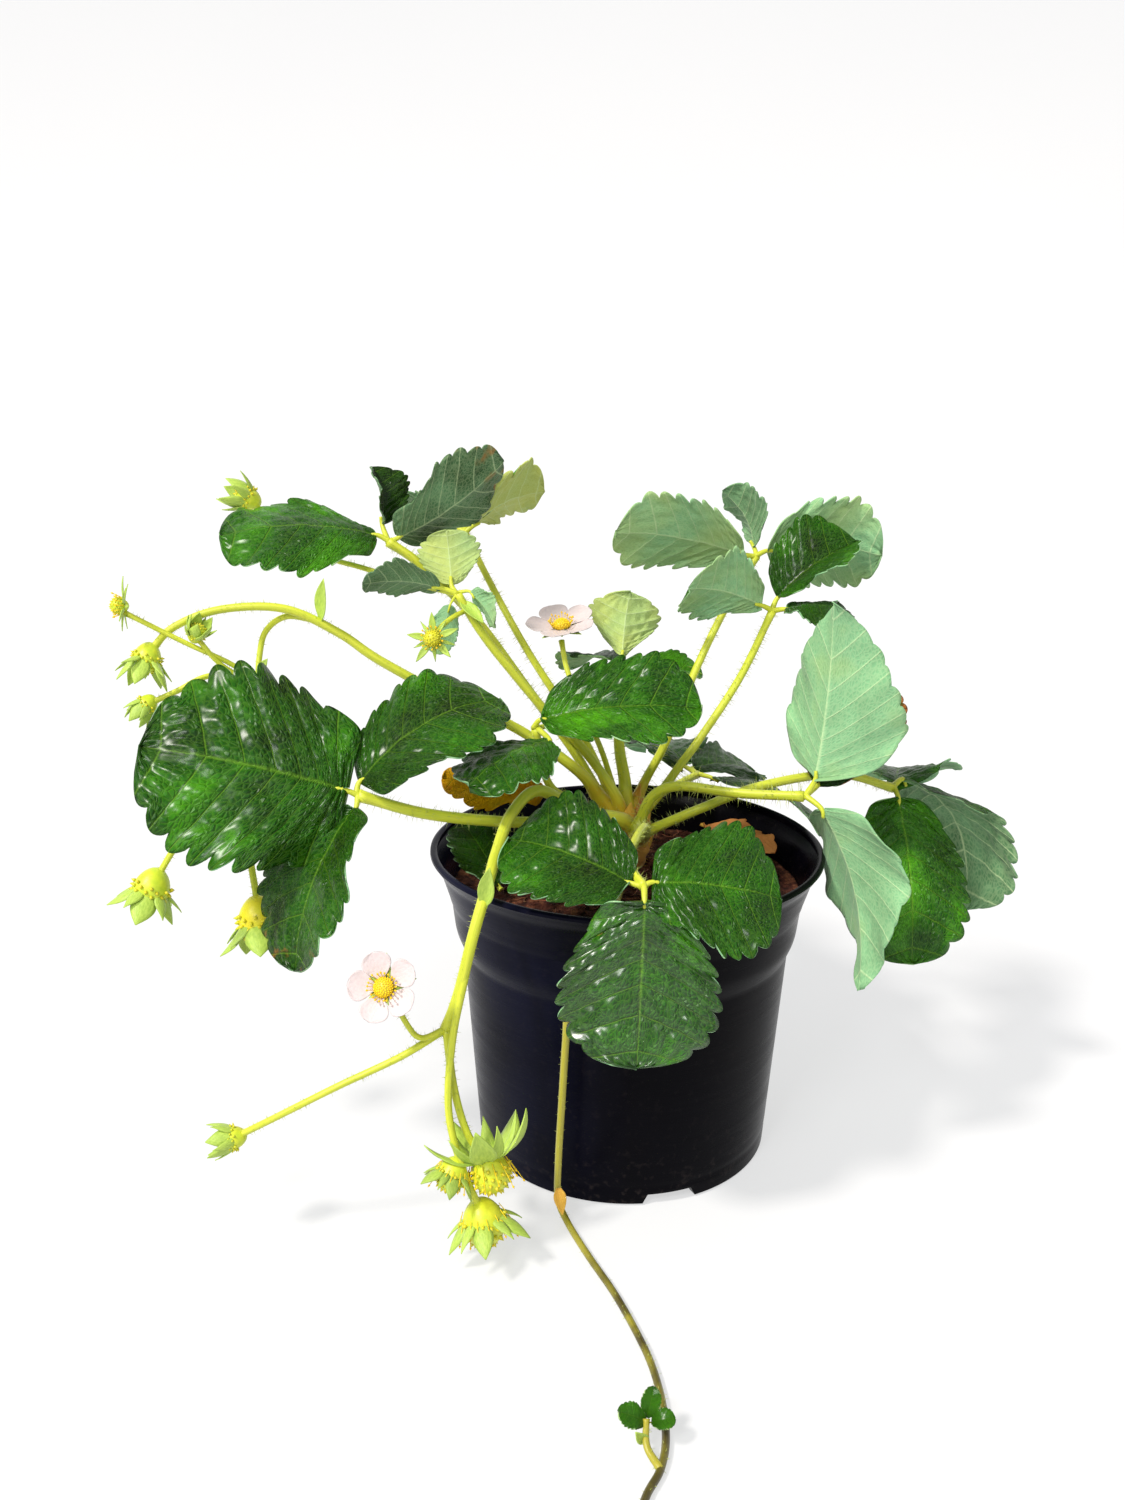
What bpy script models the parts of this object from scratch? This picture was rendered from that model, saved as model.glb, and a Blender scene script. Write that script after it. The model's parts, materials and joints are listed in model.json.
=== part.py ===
"""A potted strawberry plant: a 13 cm nursery pot, peat, a crown, trifoliate leaves, flower trusses and a runner.

Frame: the origin is the centre of the pot's underside, +Z is up and -Y is the plant's front, where the runner
leaves. Every length in the tables below is in millimetres, and MM turns it to metres.
"""

import math
from dataclasses import dataclass

import bmesh
import bpy
import numpy as np
from mathutils import Vector

MM = 0.001

# Pot
RIM_RADIUS = 65.0
POT_HEIGHT = 104.5
SHOULDER_RADIUS = 54.6
SHOULDER_HEIGHT = 71.0
FOOT_RADIUS = 49.5
WALL = 1.3
FLOOR = 1.6
PAD_RADIUS = 30.0
GUTTER_RISE = 4.0
FOOT_RING_WIDTH = 3.2
NOTCHES = 4
NOTCH_WIDTH = 17.0
NOTCH_RISE = 3.4
FIRST_NOTCH_DEG = -74.0
DRAIN_HOLES = 8
DRAIN_HOLE_RADIUS = 3.5
POT_SIDES = 48

# Soil and crown
SOIL_LEVEL = 91.0
SOIL_MOUND = 2.5
GAP = 0.35
SOIL_SIDES = 40
CROWN_CENTRE = (0.0, 12.0)
CROWN_RADIUS = 8.5
CROWN_TOP = 113.0

# Leaves and stems
BLADE_THICKNESS = 0.8
BLADE_ROWS = 7
BLADE_COLUMNS = 4
STALK_HALF_WIDTH = 0.7
JUNCTION_GAP = 1.9
STEM_STEPS = 2


@dataclass(frozen=True)
class Leaflet:
    """One blade from base to tip; faces is the way its upper side looks, fold lifts both halves off the midrib."""

    name: str
    base: tuple
    tip: tuple
    faces: tuple
    width: float
    arch: float = 4.0
    fold: float = 0.0
    stalk: float = 3.0
    colour: str = "leaf_green"


@dataclass(frozen=True)
class Stem:
    """One stem through its route's points, thinning from one radius to the other."""

    route: tuple
    radius: float
    end_radius: float


LEAFLETS = (
    # upper left leaf
    Leaflet("leaf_upper_left_side", (-81, 15, 204), (-129, 2, 205), (-0.1, -0.5, 0.9), 40, 4, -12),
    Leaflet("leaf_upper_left_small", (-80, 19, 206), (-84, 22, 225), (0.9, -0.5, 0.1), 20, 2, 35),
    Leaflet("leaf_upper_left_end", (-76, 16, 203), (-41, 26, 227), (-0.4, 0.65, 0.65), 32, -3, 10),
    # upper back leaf
    Leaflet("leaf_upper_back_right", (-53, 39, 204), (-28, 52, 215), (-0.2, 0.55, 0.8), 34, 3, 8),
    Leaflet("leaf_upper_back_left", (-58, 41, 204), (-82, 62, 207), (0.2, 0.4, 0.9), 32, 3, 5),
    Leaflet("leaf_upper_back_rear", (-55, 43, 206), (-48, 80, 212), (0.0, -0.1, 1.0), 34, 4, 5),
    # bract leaf on the upper truss
    Leaflet("bract_leaf_up", (-57, 6, 189), (-59, 13, 206), (0.0, 0.9, -0.3), 19, 2, 10, 2),
    Leaflet("bract_leaf_right", (-51, 3, 188), (-43, -6, 179), (0.5, 0.7, 0.5), 13, 1, 10, 2),
    Leaflet("bract_leaf_left", (-60, 3, 189), (-84, -3, 191), (0.0, 0.7, 0.7), 18, 2, 5, 2),
    # big left leaf
    Leaflet("leaf_left_end", (-86, -36, 134), (-145, -42, 149), (-0.05, -0.8, 0.6), 62, 5, -6),
    Leaflet("leaf_left_inner", (-83, -33, 135), (-41, -11, 156), (-0.5, -0.65, 0.6), 40, 8, 0),
    Leaflet("leaf_left_hanging", (-83, -38, 130), (-99, -60, 86), (-0.7, -0.6, 0.3), 42, 5, 8),
    # centre leaf
    Leaflet("leaf_centre_right", (-29, -13, 150), (22, -14, 154), (0.0, -0.6, 0.8), 36, 4, 16),
    Leaflet("leaf_centre_left", (-25, -18, 145), (-49, -41, 137), (-0.4, -0.4, 0.8), 34, 3, -10),
    Leaflet("leaf_centre_rear", (-26, -8, 147), (-3, 12, 143), (0.1, -0.1, 1.0), 21, 3, 5),
    # young leaf at the back of the centre
    Leaflet("leaf_young_up", (-1, 35, 159), (2, 46, 181), (-0.2, 0.85, -0.4), 26, 2, 12),
    Leaflet("leaf_young_right", (2, 33, 157), (27, 34, 154), (0.0, -0.4, 0.9), 14, 2, 15),
    Leaflet("leaf_young_rear", (-2, 36, 158), (-18, 54, 152), (-0.1, 0.2, 1.0), 26, 3, 8),
    # right leaf, front one of the upper pair
    Leaflet("leaf_right_near", (45, 19, 181), (19, 9, 188), (-0.15, 0.8, 0.6), 30, 3, 6),
    Leaflet("leaf_right_folded", (49, 21, 183), (76, 27, 201), (-0.3, -0.5, 0.75), 32, 3, 30),
    Leaflet("leaf_right_low", (51, 18, 180), (72, 8, 179), (0.1, -0.1, 1.0), 26, 3, -8),
    # right leaf, tall rear one
    Leaflet("leaf_tall_left", (40, 34, 196), (-4, 25, 204), (-0.15, 0.75, 0.6), 34, 3, 6),
    Leaflet("leaf_tall_up", (44, 38, 197), (33, 46, 216), (0.8, 0.4, 0.4), 24, 3, 12),
    Leaflet("leaf_tall_right", (47, 36, 197), (86, 33, 196), (0.1, 0.85, 0.5), 38, 4, 6),
    # low right leaf with the long hairy stalk
    Leaflet("leaf_low_right_up", (57, -21, 131), (60, -19, 189), (0.45, 0.85, 0.1), 44, 3, 28, 7),
    Leaflet("leaf_low_right_hanging", (58, -25, 127), (71, -40, 71), (0.9, 0.4, 0.2), 40, 6, 12, 6),
    Leaflet("leaf_low_right_scorched", (58, -18, 129), (84, 5, 158), (-0.5, -0.3, 0.7), 34, 3, 10, 4),
    # far right leaf
    Leaflet("leaf_far_right_front", (91, 7, 119), (94, -15, 68), (0.1, -0.85, 0.4), 40, 5, -5),
    Leaflet("leaf_far_right_end", (93, 13, 123), (122, 22, 71), (0.6, 0.5, 0.6), 49, 14, -5),
    Leaflet("leaf_far_right_rear", (92, 15, 121), (106, 60, 108), (0.0, 0.2, 1.0), 42, 5, 5),
    # back leaf behind the rim
    Leaflet("leaf_back_right", (26, 52, 115), (52, 68, 108), (0.1, -0.2, 1.0), 28, 3, 6),
    Leaflet("leaf_back_over_rim", (32, 43, 114), (80, 28, 88), (0.5, 0.1, 0.8), 28, 9, -5),
    Leaflet("leaf_back_rear", (24, 53, 115), (12, 92, 111), (0.0, 0.2, 1.0), 34, 5, 5),
    # front leaf over the rim
    Leaflet("leaf_front_left", (-4, -58, 114), (-37, -43, 121), (-0.1, -0.55, 0.8), 38, 4, 6),
    Leaflet("leaf_front_right", (6, -61, 115), (42, -57, 108), (0.05, -0.65, 0.7), 41, 4, 0),
    Leaflet("leaf_front_hanging", (2, -67, 112), (0, -79, 66), (0.0, -0.95, 0.25), 46, 4, -4),
    # small and old leaves by the soil
    Leaflet("leaf_inside_left_rim", (-41, -22, 97), (-54, -10, 115), (0.6, -0.7, 0.4), 22, 2, 5),
    Leaflet("old_leaf_yellow", (-27, 3, 120), (-61, 1, 126), (0.0, -0.6, 0.8), 18, 2, -5, 3, "leaf_yellow"),
    Leaflet("old_leaf_withered", (29, 34, 99), (51, 11, 97), (0.2, -0.2, 1.0), 14, 2, 10, 3, "leaf_withered"),
)

PETIOLES = {
    "petiole_upper_left": Stem(
        ((-9, 13, 118), (-18, 10, 134), (-32, 11, 153), (-50, 14, 177), (-67, 15, 194), (-78, 15, 202)), 1.6, 1.5
    ),
    "petiole_upper_back": Stem(
        ((-6, 20, 117), (-14, 22, 134), (-32, 24, 162), (-44, 31, 182), (-55, 39, 202)), 1.5, 1.1
    ),
    "petiole_left": Stem(
        ((-10, 7, 107), (-24, -8, 114), (-42, -18, 118), (-64, -28, 124), (-83, -35, 132)), 2.0, 1.7
    ),
    "petiole_centre": Stem(((-8, 5, 113), (-17, -2, 119), (-26, -8, 128), (-30, -12, 147)), 1.5, 1.2),
    "petiole_young": Stem(((0, 18, 120), (-2, 20, 132), (-2, 27, 146), (1, 34, 157)), 2.4, 1.3),
    "petiole_right": Stem(
        ((11, 10, 118), (18, 11, 128), (25, 14, 137), (38, 18, 157), (48, 20, 179)), 1.6, 1.2
    ),
    "petiole_tall": Stem(((7, 19, 120), (14, 20, 134), (24, 26, 158), (34, 32, 178), (44, 35, 195)), 1.6, 1.2),
    "petiole_low_right": Stem(
        ((4, 1, 111), (8, -4, 122), (16, -8, 127), (34, -15, 127), (54, -21, 128)), 1.9, 1.5
    ),
    "petiole_far_right": Stem(
        ((10, 3, 109), (24, -1, 117), (44, 2, 124), (70, 6, 127), (90, 10, 121)), 1.7, 1.4
    ),
    "petiole_back": Stem(((7, 21, 110), (15, 30, 113), (28, 47, 114)), 1.5, 1.3),
    "petiole_front": Stem(((6, -1, 107), (5, -14, 115), (1, -34, 118), (-2, -50, 117), (2, -62, 114)), 1.5, 1.3),
}

UPPER_LEFT_TRUSS = (
    Stem(((-9, 7, 118), (-16, 1, 129), (-36, 2, 143), (-60, 0, 155), (-80, -3, 167), (-92, -5, 176),
          (-108, -8, 184), (-127, -10, 184), (-141, -13, 179), (-148, -15, 172)), 1.9, 1.1),
    Stem(((-98, -6, 180), (-108, -5, 181), (-115, -4, 176), (-117, -6, 168), (-117, -10, 160)), 1.0, 0.9),
    Stem(((-117, -10, 160), (-124, -12, 167), (-137, -14, 174), (-155, -16, 184)), 0.8, 0.8),
    Stem(((-117, -10, 160), (-127, -13, 167), (-134, -14, 176)), 0.8, 0.8),
    Stem(((-117, -10, 160), (-130, -14, 164), (-140, -18, 160), (-147, -20, 157)), 0.9, 0.9),
    Stem(((-117, -10, 160), (-122, -12, 144), (-136, -22, 122), (-148, -30, 102)), 0.9, 1.0),
    Stem(((-117, -10, 160), (-117, -14, 140), (-119, -26, 118), (-115, -35, 94)), 0.9, 1.1),
)
UPPER_LEFT_HEADS = (
    ((-149, -16, 170), 5.0), ((-149, -20, 156), 4.5), ((-156, -16, 186), 4.0),
    ((-134, -14, 177), 3.0), ((-149, -30, 100), 7.0), ((-115, -35, 92), 8.0),
)

UPPER_TRUSS = (
    Stem(((-4, 6, 120), (-14, 8, 134), (-26, 6, 147), (-38, 4, 162), (-47, 3, 174), (-55, 3, 187)), 1.7, 1.3),
    Stem(((-55, 3, 187), (-70, 7, 190), (-86, 11, 194), (-102, 22, 197), (-116, 30, 206), (-124, 30, 212)), 0.9, 0.8),
    Stem(((-52, 3, 182), (-57, -3, 180), (-62, -8, 176)), 0.8, 0.8),
)
UPPER_HEADS = (((-126, 30, 214), 5.0), ((-62, -9, 175), 4.0))

BACK_TRUSS = (
    Stem(((-5, 15, 122), (-9, 15, 134), (-15, 18, 146), (-20, 24, 158), (-22, 29, 165)), 1.0, 0.9),
)
BACK_HEADS = (((-22, 30, 167), 3.0),)

FRONT_TRUSS = (
    Stem(((-2, 1, 112), (-16, -9, 119), (-29, -20, 129), (-37, -31, 125), (-41, -43, 117), (-43, -52, 111),
          (-47, -60, 98), (-51, -63, 82), (-55, -64, 70)), 2.0, 1.6),
    Stem(((-55, -64, 70), (-68, -66, 62), (-87, -68, 53), (-105, -70, 44), (-116, -70, 38)), 1.1, 1.0),
    Stem(((-55, -64, 70), (-62, -68, 69), (-66, -70, 75), (-70, -72, 84)), 0.9, 0.8),
    Stem(((-55, -64, 70), (-53, -68, 54), (-49, -71, 40), (-43, -73, 31)), 1.2, 1.1),
    Stem(((-49, -62, 88), (-53, -68, 68), (-54, -73, 48), (-50, -77, 32), (-45, -77, 18)), 1.1, 1.1),
)
FRONT_HEADS = (
    ((-118, -70, 37), 5.0), ((-42, -74, 29), 6.0), ((-44, -77, 14), 7.0), ((-53, -77, 30), 5.0),
    ((-71, -73, 86), 3.2),
)

RUNNER = Stem(
    ((2, 0, 104), (0, -14, 107), (-3, -34, 108), (-5, -54, 108), (-8, -66, 106), (-14, -67, 94),
     (-19, -64, 80), (-20, -62, 65), (-21, -61, 45), (-22, -58, 22), (-22, -56, 7), (-19, -61, 2.0),
     (-13, -76, 1.6), (-6, -92, 1.6), (-1, -106, 1.6), (3, -120, 1.6), (5, -134, 1.6), (5, -146, 1.6),
     (3, -155, 1.6), (-1, -163, 1.6), (-4, -174, 1.6)), 1.3, 1.2
)
PLANTLET = (
    Leaflet("", (0, -146, 7), (-7, -147, 11), (0.2, -0.6, 0.8), 7, 1, 5, 1),
    Leaflet("", (0, -145, 7), (2, -142, 14), (0.0, -0.9, 0.3), 6, 1, 10, 1),
    Leaflet("", (1, -146, 7), (7, -147, 9), (0.0, -0.5, 0.8), 6, 1, 5, 1),
)
PLANTLET_SHOOT = Stem(((3, -155, 1.6), (0, -150, 3.5), (0, -146, 8)), 1.1, 0.9)

FRONT_FLOWER = ((-71, -76, 89), (-0.1, -0.85, 0.5), 10.0)
BACK_FLOWER = ((-22, 31, 171.5), (-0.1, -0.3, 0.95), 12.0)
PETALS = 5

COLOURS = {
    "pot_black": ((0.012, 0.012, 0.018), 0.38),
    "soil_brown": ((0.035, 0.015, 0.010), 0.95),
    "crown_brown": ((0.20, 0.10, 0.03), 0.75),
    "leaf_green": ((0.045, 0.16, 0.020), 0.40),
    "leaf_yellow": ((0.70, 0.38, 0.02), 0.55),
    "leaf_withered": ((0.42, 0.16, 0.03), 0.80),
    "stem_green": ((0.36, 0.48, 0.05), 0.55),
    "petal_white": ((0.93, 0.88, 0.86), 0.50),
}


def material(name):
    """The named finish as a Principled material, made once."""
    if name in bpy.data.materials:
        return bpy.data.materials[name]
    colour, roughness = COLOURS[name]
    made = bpy.data.materials.new(name)
    made.use_nodes = True
    shader = made.node_tree.nodes["Principled BSDF"]
    shader.inputs["Base Color"].default_value = (*colour, 1.0)
    shader.inputs["Roughness"].default_value = roughness
    shader.inputs["Metallic"].default_value = 0.0
    return made


def add_object(name, data, finish):
    """Links a mesh or curve as the named object in its finish."""
    made = bpy.data.objects.new(name, data)
    bpy.context.scene.collection.objects.link(made)
    made.data.materials.append(material(finish))
    return made


def unit(vector):
    """The vector at length 1."""
    vector = np.asarray(vector, float)
    return vector / np.linalg.norm(vector)


def spun_mesh(name, profile, sides):
    """A closed turned solid from a profile of (radius, height) that starts and ends on the axis, listed upwards
    along the outside."""
    work = bmesh.new()
    rings = []
    for radius, height in profile:
        if radius == 0.0:
            rings.append([work.verts.new((0.0, 0.0, height * MM))])
            continue
        ring = []
        for step in range(sides):
            angle = 2.0 * math.pi * step / sides
            ring.append(work.verts.new((radius * math.cos(angle) * MM, radius * math.sin(angle) * MM, height * MM)))
        rings.append(ring)
    for low, high in zip(rings, rings[1:]):
        for step in range(sides):
            after = (step + 1) % sides
            corners = [low[step % len(low)], low[after % len(low)], high[after % len(high)], high[step % len(high)]]
            work.faces.new(list(dict.fromkeys(corners)))
    bmesh.ops.recalc_face_normals(work, faces=work.faces)
    mesh = bpy.data.meshes.new(name)
    work.to_mesh(mesh)
    work.free()
    return mesh


def outer_radius(height):
    """The pot's outer radius at a height: a tapered body, a step at the shoulder and a flared collar."""
    heights = (0.0, SHOULDER_HEIGHT, 77.0, 87.0, 99.0, POT_HEIGHT - 1.5)
    radii = (FOOT_RADIUS, SHOULDER_RADIUS, 57.0, 58.2, 62.0, RIM_RADIUS)
    return float(np.interp(height, heights, radii))


def inner_radius(height):
    """The pot's inner radius at a height."""
    return outer_radius(height) - WALL


def cutter(name, data):
    """A hidden helper solid for a Boolean."""
    made = bpy.data.objects.new(name, data)
    bpy.context.scene.collection.objects.link(made)
    made.hide_render = True
    made.display_type = "WIRE"
    return made


def box_mesh(name, size):
    """A box mesh of a size in millimetres, centred."""
    work = bmesh.new()
    bmesh.ops.create_cube(work, size=MM)
    bmesh.ops.scale(work, vec=Vector(size), verts=work.verts)
    mesh = bpy.data.meshes.new(name)
    work.to_mesh(mesh)
    work.free()
    return mesh


def cut(body, tool):
    """Takes a cutter's shape out of a body with a live Boolean."""
    change = body.modifiers.new("cut_" + tool.name, "BOOLEAN")
    change.operation = "DIFFERENCE"
    change.solver = "EXACT"
    change.object = tool


def build_pot():
    """The thin black pot: pad, raised gutter with drain holes, notched foot ring, tapered body, flared collar."""
    ring_inner = FOOT_RADIUS - FOOT_RING_WIDTH
    slope = 2.5
    outside = [(0.0, 0.0), (PAD_RADIUS, 0.0), (PAD_RADIUS + slope, GUTTER_RISE), (ring_inner - 1.0, GUTTER_RISE)]
    outside += [(ring_inner, 0.0), (FOOT_RADIUS - 0.6, 0.0), (outer_radius(0.8), 0.8)]
    wall_heights = (20.0, 45.0, SHOULDER_HEIGHT, 77.0, 87.0, 99.0, POT_HEIGHT - 1.5)
    outside += [(outer_radius(height), height) for height in wall_heights]
    lip = [(RIM_RADIUS - 0.5, POT_HEIGHT), (RIM_RADIUS - 2.2, POT_HEIGHT)]
    inside = [(inner_radius(height), height) for height in reversed(wall_heights[:-1])]
    floor_top = GUTTER_RISE + FLOOR
    inside += [(inner_radius(floor_top), floor_top), (PAD_RADIUS + slope - 1.0, floor_top)]
    inside += [(PAD_RADIUS - 1.0, FLOOR), (0.0, FLOOR)]
    pot = add_object("pot", spun_mesh("pot", outside + lip + inside, POT_SIDES), "pot_black")
    for index in range(NOTCHES):
        angle = math.radians(FIRST_NOTCH_DEG) + index * 2.0 * math.pi / NOTCHES
        tool = cutter(f"notch_cutter_{index}", box_mesh("notch", (12.0, NOTCH_WIDTH, 2.0 * NOTCH_RISE)))
        tool.location = (FOOT_RADIUS * math.cos(angle) * MM, FOOT_RADIUS * math.sin(angle) * MM, 0.0)
        tool.rotation_euler = (0.0, 0.0, angle)
        cut(pot, tool)
    gutter_middle = (PAD_RADIUS + slope + ring_inner - 1.0) / 2.0
    for index in range(DRAIN_HOLES):
        angle = (index + 0.5) * 2.0 * math.pi / DRAIN_HOLES
        profile = ((0.0, 2.0), (DRAIN_HOLE_RADIUS, 2.0), (DRAIN_HOLE_RADIUS, 8.0), (0.0, 8.0))
        tool = cutter(f"drain_cutter_{index}", spun_mesh("drain", profile, 12))
        tool.location = (gutter_middle * math.cos(angle) * MM, gutter_middle * math.sin(angle) * MM, 0.0)
        cut(pot, tool)
    pot.data.shade_smooth()
    pot.data.set_sharp_from_angle(angle=math.radians(30.0))
    return pot


def build_soil():
    """The peat as one solid that fills the pot, a shallow mound with a flat seat for the crown."""
    floor_top = GUTTER_RISE + FLOOR + GAP
    profile = [(0.0, floor_top), (inner_radius(floor_top) - GAP, floor_top)]
    profile += [(inner_radius(height) - GAP, height) for height in (SHOULDER_HEIGHT, 77.0, 87.0, SOIL_LEVEL - 1.0)]
    profile += [(inner_radius(SOIL_LEVEL) - 4.0, SOIL_LEVEL), (34.0, SOIL_LEVEL + SOIL_MOUND)]
    profile += [(0.0, SOIL_LEVEL + SOIL_MOUND)]
    return add_object("soil", spun_mesh("soil", profile, SOIL_SIDES), "soil_brown")


def build_crown():
    """The short rough crown that every leaf and truss grows from."""
    foot = SOIL_LEVEL + SOIL_MOUND + GAP
    height = CROWN_TOP - foot
    shares = ((0.0, 0.0), (0.75, 0.0), (1.0, 0.3), (0.95, 0.6), (0.7, 0.85), (0.35, 1.0), (0.0, 1.0))
    profile = [(CROWN_RADIUS * across, foot + height * up) for across, up in shares]
    crown = add_object("crown", spun_mesh("crown", profile, 16), "crown_brown")
    crown.location = (CROWN_CENTRE[0] * MM, CROWN_CENTRE[1] * MM, 0.0)
    return crown


def leaflet_points(leaflet, gap):
    """The blade's surface as rows of points from base to tip, with its stalk's end held off by the gap.

    The midrib is the line from base to tip, lifted by the arch as 4t(1-t). The half width follows
    sin(pi * t^1.1)^0.55, which is widest just past the middle, and a narrow stalk comes before it.
    """
    base, tip = np.array(leaflet.base, float), np.array(leaflet.tip, float)
    along = unit(tip - base)
    base = base + along * gap
    length = float(np.linalg.norm(tip - base))
    up = np.array(leaflet.faces, float)
    up = unit(up - along * up.dot(along))
    across = np.cross(up, along)
    fold = math.radians(leaflet.fold)
    stalk_share = leaflet.stalk / length
    shares = [0.0, *np.linspace(stalk_share, 1.0, BLADE_ROWS + 1)]
    rows = []
    for share in shares:
        grown = max(0.0, (share - stalk_share) / (1.0 - stalk_share))
        half = 0.5 * leaflet.width * max(0.0, math.sin(math.pi * min(grown, 1.0) ** 1.1)) ** 0.55
        half = max(STALK_HALF_WIDTH, half)
        lift = leaflet.arch * 4.0 * share * (1.0 - share)
        middle = base + along * length * share + up * lift
        row = []
        for column in range(BLADE_COLUMNS + 1):
            side = 2.0 * column / BLADE_COLUMNS - 1.0
            offset = across * side * half * math.cos(fold) + up * abs(side) * half * math.sin(fold)
            row.append(middle + offset)
        rows.append(row)
    return rows


def blade_mesh(name, leaflet, gap):
    """The blade as one sheet."""
    rows = leaflet_points(leaflet, gap)
    across = BLADE_COLUMNS + 1
    top = np.array(rows).reshape(-1, 3) * MM
    faces = []
    for row in range(len(rows) - 1):
        for column in range(BLADE_COLUMNS):
            first = row * across + column
            faces.append((first, first + 1, first + across + 1, first + across))
    mesh = bpy.data.meshes.new(name)
    mesh.from_pydata(top.tolist(), [], faces)
    mesh.update()
    return mesh


def thicken(body):
    """Gives a sheet its thickness on both sides of its middle."""
    change = body.modifiers.new("thickness", "SOLIDIFY")
    change.thickness = BLADE_THICKNESS * MM
    change.offset = 0.0
    change.use_even_offset = False


def build_leaflet(leaflet):
    """One leaflet as its own object."""
    blade = add_object(leaflet.name, blade_mesh(leaflet.name, leaflet, JUNCTION_GAP), leaflet.colour)
    thicken(blade)
    blade.data.shade_smooth()
    return blade


def smooth_route(points):
    """Points on a Catmull-Rom curve through the route's own points."""
    route = [np.array(point, float) for point in points]
    route = [2.0 * route[0] - route[1], *route, 2.0 * route[-1] - route[-2]]
    found = []
    for index in range(1, len(route) - 2):
        before, start, end, after = route[index - 1:index + 3]
        for step in range(STEM_STEPS):
            t = step / STEM_STEPS
            bend = 2.0 * start + (end - before) * t
            bend = bend + (2.0 * before - 5.0 * start + 4.0 * end - after) * t**2
            bend = bend + (3.0 * start - before - 3.0 * end + after) * t**3
            found.append(0.5 * bend)
    found.append(route[-2])
    return found


def stem_curve(name, stem):
    """A poly curve with a round bevel, thinning along its length, with filled ends."""
    points = smooth_route(stem.route)
    curve = bpy.data.curves.new(name, "CURVE")
    curve.dimensions = "3D"
    curve.bevel_depth = MM
    curve.bevel_resolution = 1
    curve.use_fill_caps = True
    spline = curve.splines.new("POLY")
    spline.points.add(len(points) - 1)
    for index, (target, point) in enumerate(zip(spline.points, points)):
        share = index / (len(points) - 1)
        target.co = (*(point * MM), 1.0)
        target.radius = stem.radius + (stem.end_radius - stem.radius) * share
    return curve


def build_petiole(name, stem):
    """One leaf stalk as its own object."""
    return add_object(name, stem_curve(name, stem), "stem_green")


def head_mesh(centre, radius):
    """A bud, flower base or young fruit as a faceted ball."""
    work = bmesh.new()
    bmesh.ops.create_icosphere(work, subdivisions=1, radius=radius * MM)
    bmesh.ops.translate(work, vec=Vector(centre) * MM, verts=work.verts)
    mesh = bpy.data.meshes.new("head")
    work.to_mesh(mesh)
    work.free()
    return mesh


def settled(body):
    """The object's evaluated mesh, with its modifiers and bevel in it and its end caps welded on."""
    graph = bpy.context.evaluated_depsgraph_get()
    mesh = bpy.data.meshes.new_from_object(body.evaluated_get(graph))
    work = bmesh.new()
    work.from_mesh(mesh)
    bmesh.ops.remove_doubles(work, verts=work.verts, dist=1e-6)
    work.to_mesh(mesh)
    work.free()
    return mesh


def build_grown_piece(name, stems, heads=(), blades=()):
    """Stems, heads and small blades grown together as one closed solid."""
    first = cutter(f"{name}_stem", stem_curve(name, stems[0]))
    others = [cutter(f"{name}_branch_{number}", stem_curve(name, stem)) for number, stem in enumerate(stems[1:])]
    others += [cutter(f"{name}_head_{number}", head_mesh(*head)) for number, head in enumerate(heads)]
    for number, blade in enumerate(blades):
        sheet = cutter(f"{name}_blade_{number}", blade_mesh(name, blade, 0.0))
        thicken(sheet)
        others.append(sheet)
    body = cutter(f"{name}_body", settled(first))
    helpers = [first, body, *others]
    for other in others:
        solid = cutter(other.name + "_solid", settled(other))
        helpers.append(solid)
        change = body.modifiers.new("join_" + other.name, "BOOLEAN")
        change.operation = "UNION"
        change.solver = "EXACT"
        change.use_self = True
        change.object = solid
    whole = settled(body)
    for helper in helpers:
        bpy.data.objects.remove(helper)
    return add_object(name, whole, "stem_green")


def build_corolla(name, flower):
    """The flower's white petals as one ring: five rounded lobes about a small hole for the flower's centre."""
    centre, faces, radius = flower
    centre, up = np.array(centre, float), unit(faces)
    right = unit(np.cross(up, (0.0, 0.0, 1.0) if abs(up[2]) < 0.9 else (0.0, 1.0, 0.0)))
    ahead = np.cross(up, right)
    around = PETALS * 6
    hole = 3.6
    points, faces_made = [], []
    for step in range(around):
        angle = 2.0 * math.pi * step / around
        lobe = abs(math.cos(0.5 * PETALS * angle)) ** 0.35
        outward = right * math.cos(angle) + ahead * math.sin(angle)
        reach = hole + 1.6 + (radius - hole - 1.6) * lobe
        middle = 0.5 * (hole + reach)
        points += [centre + outward * hole, centre + outward * middle + up * 0.7, centre + outward * reach + up * 2.0]
    for step in range(around):
        this, after = 3 * step, 3 * ((step + 1) % around)
        for ring in range(2):
            faces_made.append((this + ring, this + ring + 1, after + ring + 1, after + ring))
    mesh = bpy.data.meshes.new(name)
    mesh.from_pydata([tuple(point * MM) for point in points], [], faces_made)
    mesh.update()
    corolla = add_object(name, mesh, "petal_white")
    thicken(corolla)
    return corolla


def main():
    """Clears the scene and builds every piece."""
    for item in list(bpy.data.objects):
        bpy.data.objects.remove(item)
    build_pot()
    build_soil()
    build_crown()
    for leaflet in LEAFLETS:
        build_leaflet(leaflet)
    for name, stem in PETIOLES.items():
        build_petiole(name, stem)
    build_grown_piece("truss_upper_left", UPPER_LEFT_TRUSS, UPPER_LEFT_HEADS)
    build_grown_piece("truss_upper", UPPER_TRUSS, UPPER_HEADS)
    build_grown_piece("truss_back", BACK_TRUSS, BACK_HEADS)
    build_grown_piece("truss_front", FRONT_TRUSS, FRONT_HEADS)
    build_grown_piece("runner", (RUNNER, PLANTLET_SHOOT), (), PLANTLET)
    build_corolla("petals_front_flower", FRONT_FLOWER)
    build_corolla("petals_back_flower", BACK_FLOWER)


main()
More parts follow.
